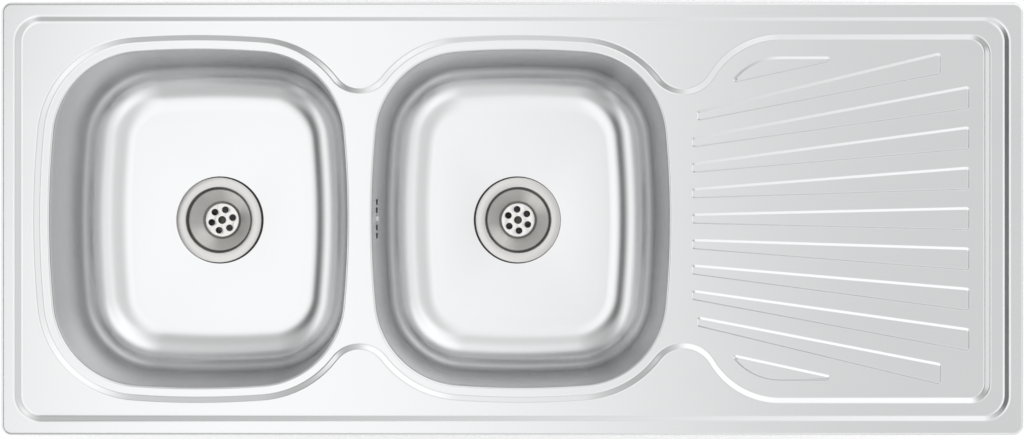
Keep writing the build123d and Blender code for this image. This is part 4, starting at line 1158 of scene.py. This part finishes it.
# The stops below run from the room's left, -1, to its right, 1, and give the light there.
CEILING = [(-0.45, 1.0), (-0.3, 1.4), (-0.15, 1.5), (0.0, 1.3), (0.2, 0.86), (0.45, 0.9)]
WALLS = [(-0.8, 1.0), (-0.66, 0.5), (-0.58, 0.04), (-0.47, 0.06), (-0.35, 0.35), (-0.15, 0.7),
         (0.05, 1.0), (0.25, 1.35), (0.5, 1.6), (0.8, 1.1)]
REAR_DADO = [(-0.92, 1.2), (-0.78, 1.5), (-0.65, 0.7), (-0.5, 0.6), (-0.15, 0.85),
             (0.15, 1.5), (0.5, 1.5), (0.85, 1.6), (0.97, 0.9)]
FRONT_DADO = [(-0.92, 1.2), (-0.78, 1.5), (-0.65, 0.7), (-0.5, 0.45), (-0.15, 0.75),
              (0.15, 1.1), (0.5, 0.8), (0.85, 1.2), (0.97, 0.8)]
REAR_HORIZON = [(-0.95, 1.25), (-0.5, 0.9), (0.2, 1.1), (0.95, 1.0)]
FRONT_HORIZON = [(-0.95, 1.25), (-0.5, 0.8), (0.3, 0.8), (0.95, 0.9)]
FLANKS = [(-0.7, 0.9), (-0.4, 0.6), (-0.15, 0.7), (0.05, 1.0), (0.25, 1.35), (0.5, 1.5), (0.8, 1.1)]
FLANK_EDGE = [(-0.55, 1.0), (-0.3, 0.0), (0.3, 0.0), (0.55, 1.0)]  # from front to rear
REAR_EDGE = [(-0.1, 0.0), (0.1, 1.0)]
world = bpy.data.worlds.new("studio")
world.use_nodes = True
bpy.context.scene.world = world
studio = Graph(world.node_tree)


def across(value, stops):
    """A ramp over values from -1 to 1."""
    return studio.ramp(value * 0.5 + 0.5, [((place + 1) / 2, light) for place, light in stops])


def blended(mask, low, high):
    return low + mask * (high - low)


direction = studio.node("ShaderNodeTexCoord", output="Generated")
rightwards, rearwards = studio.along(direction, "X"), studio.along(direction, "Y")
rear, flank = across(rearwards, REAR_EDGE), across(rearwards, FLANK_EDGE)
height = studio.vector("DOT_PRODUCT", [direction, CEILING_AXIS], 1)
light = blended(rear, across(rightwards, FRONT_HORIZON), across(rightwards, REAR_HORIZON))
dado = blended(rear, across(rightwards, FRONT_DADO), across(rightwards, REAR_DADO))
light = blended(across(height, DADO_EDGE), light, dado)
walls = blended(flank, across(rightwards, WALLS), across(rightwards, FLANKS))
light = blended(across(height, WALL_EDGE), light, walls)
light = blended(across(height, CEILING_EDGE), light, across(rightwards, CEILING))
studio.feed(studio.nodes["Background"], {"Color": light, "Strength": 1.0})
print("world ready")

# %% [markdown]
# ## Floor
# The floor is plain and pale, and takes the sink's shadow from the light of the room. Rays from the camera,
# and those seen in gloss or through glass, get a little more from it, so that it looks white where no shadow
# falls. Right under the sink it gives nothing more, so the holes of the wastes stay black.

# %% Floor
FLOOR_SIZE = 40.0
FLOOR_GAP = 0.2 * MM  # between the floor and the tails of the wastes
FLOOR_GLOW = 0.3
GLOW_EDGE = [(0.3, 0.0), (0.56, FLOOR_GLOW)]  # the sink's rim is at 0.5
RAYS = ("Camera", "Glossy", "Transmission")
floor_mesh = bmesh.new()
bmesh.ops.create_grid(floor_mesh, x_segments=1, y_segments=1, size=FLOOR_SIZE / 2)
floor = placed("floor", as_data(floor_mesh))
floor.location.z = cad_box[0][2] - FLOOR_GAP
pale = Finish("pale_floor", Roughness=0.9, Emission_Strength=1.0)
grain = pale.noise(pale.place((60.0, 60.0, 60.0)))
rays = [pale.node("ShaderNodeLightPath", output=f"Is {kind} Ray") for kind in RAYS]
seen = pale.math("MAXIMUM", pale.math("MAXIMUM", rays[0], rays[1]), rays[2])
across_sink = pale.vector("ABSOLUTE", [pale.place((1 / LENGTH, 1 / WIDTH, 0.0))])
outside = pale.math("MAXIMUM", pale.along(across_sink, "X"), pale.along(across_sink, "Y"))
pale.surface(
    Base_Color=pale.colours(grain, (0.80, 0.80, 0.80), (0.84, 0.84, 0.84)),
    Emission_Color=seen * pale.ramp(outside, GLOW_EDGE),
)
floor.data.materials.append(pale.material)
bpy.context.scene.view_settings.view_transform = "Standard"
print("floor at", round(floor.location.z / MM, 1), "mm")
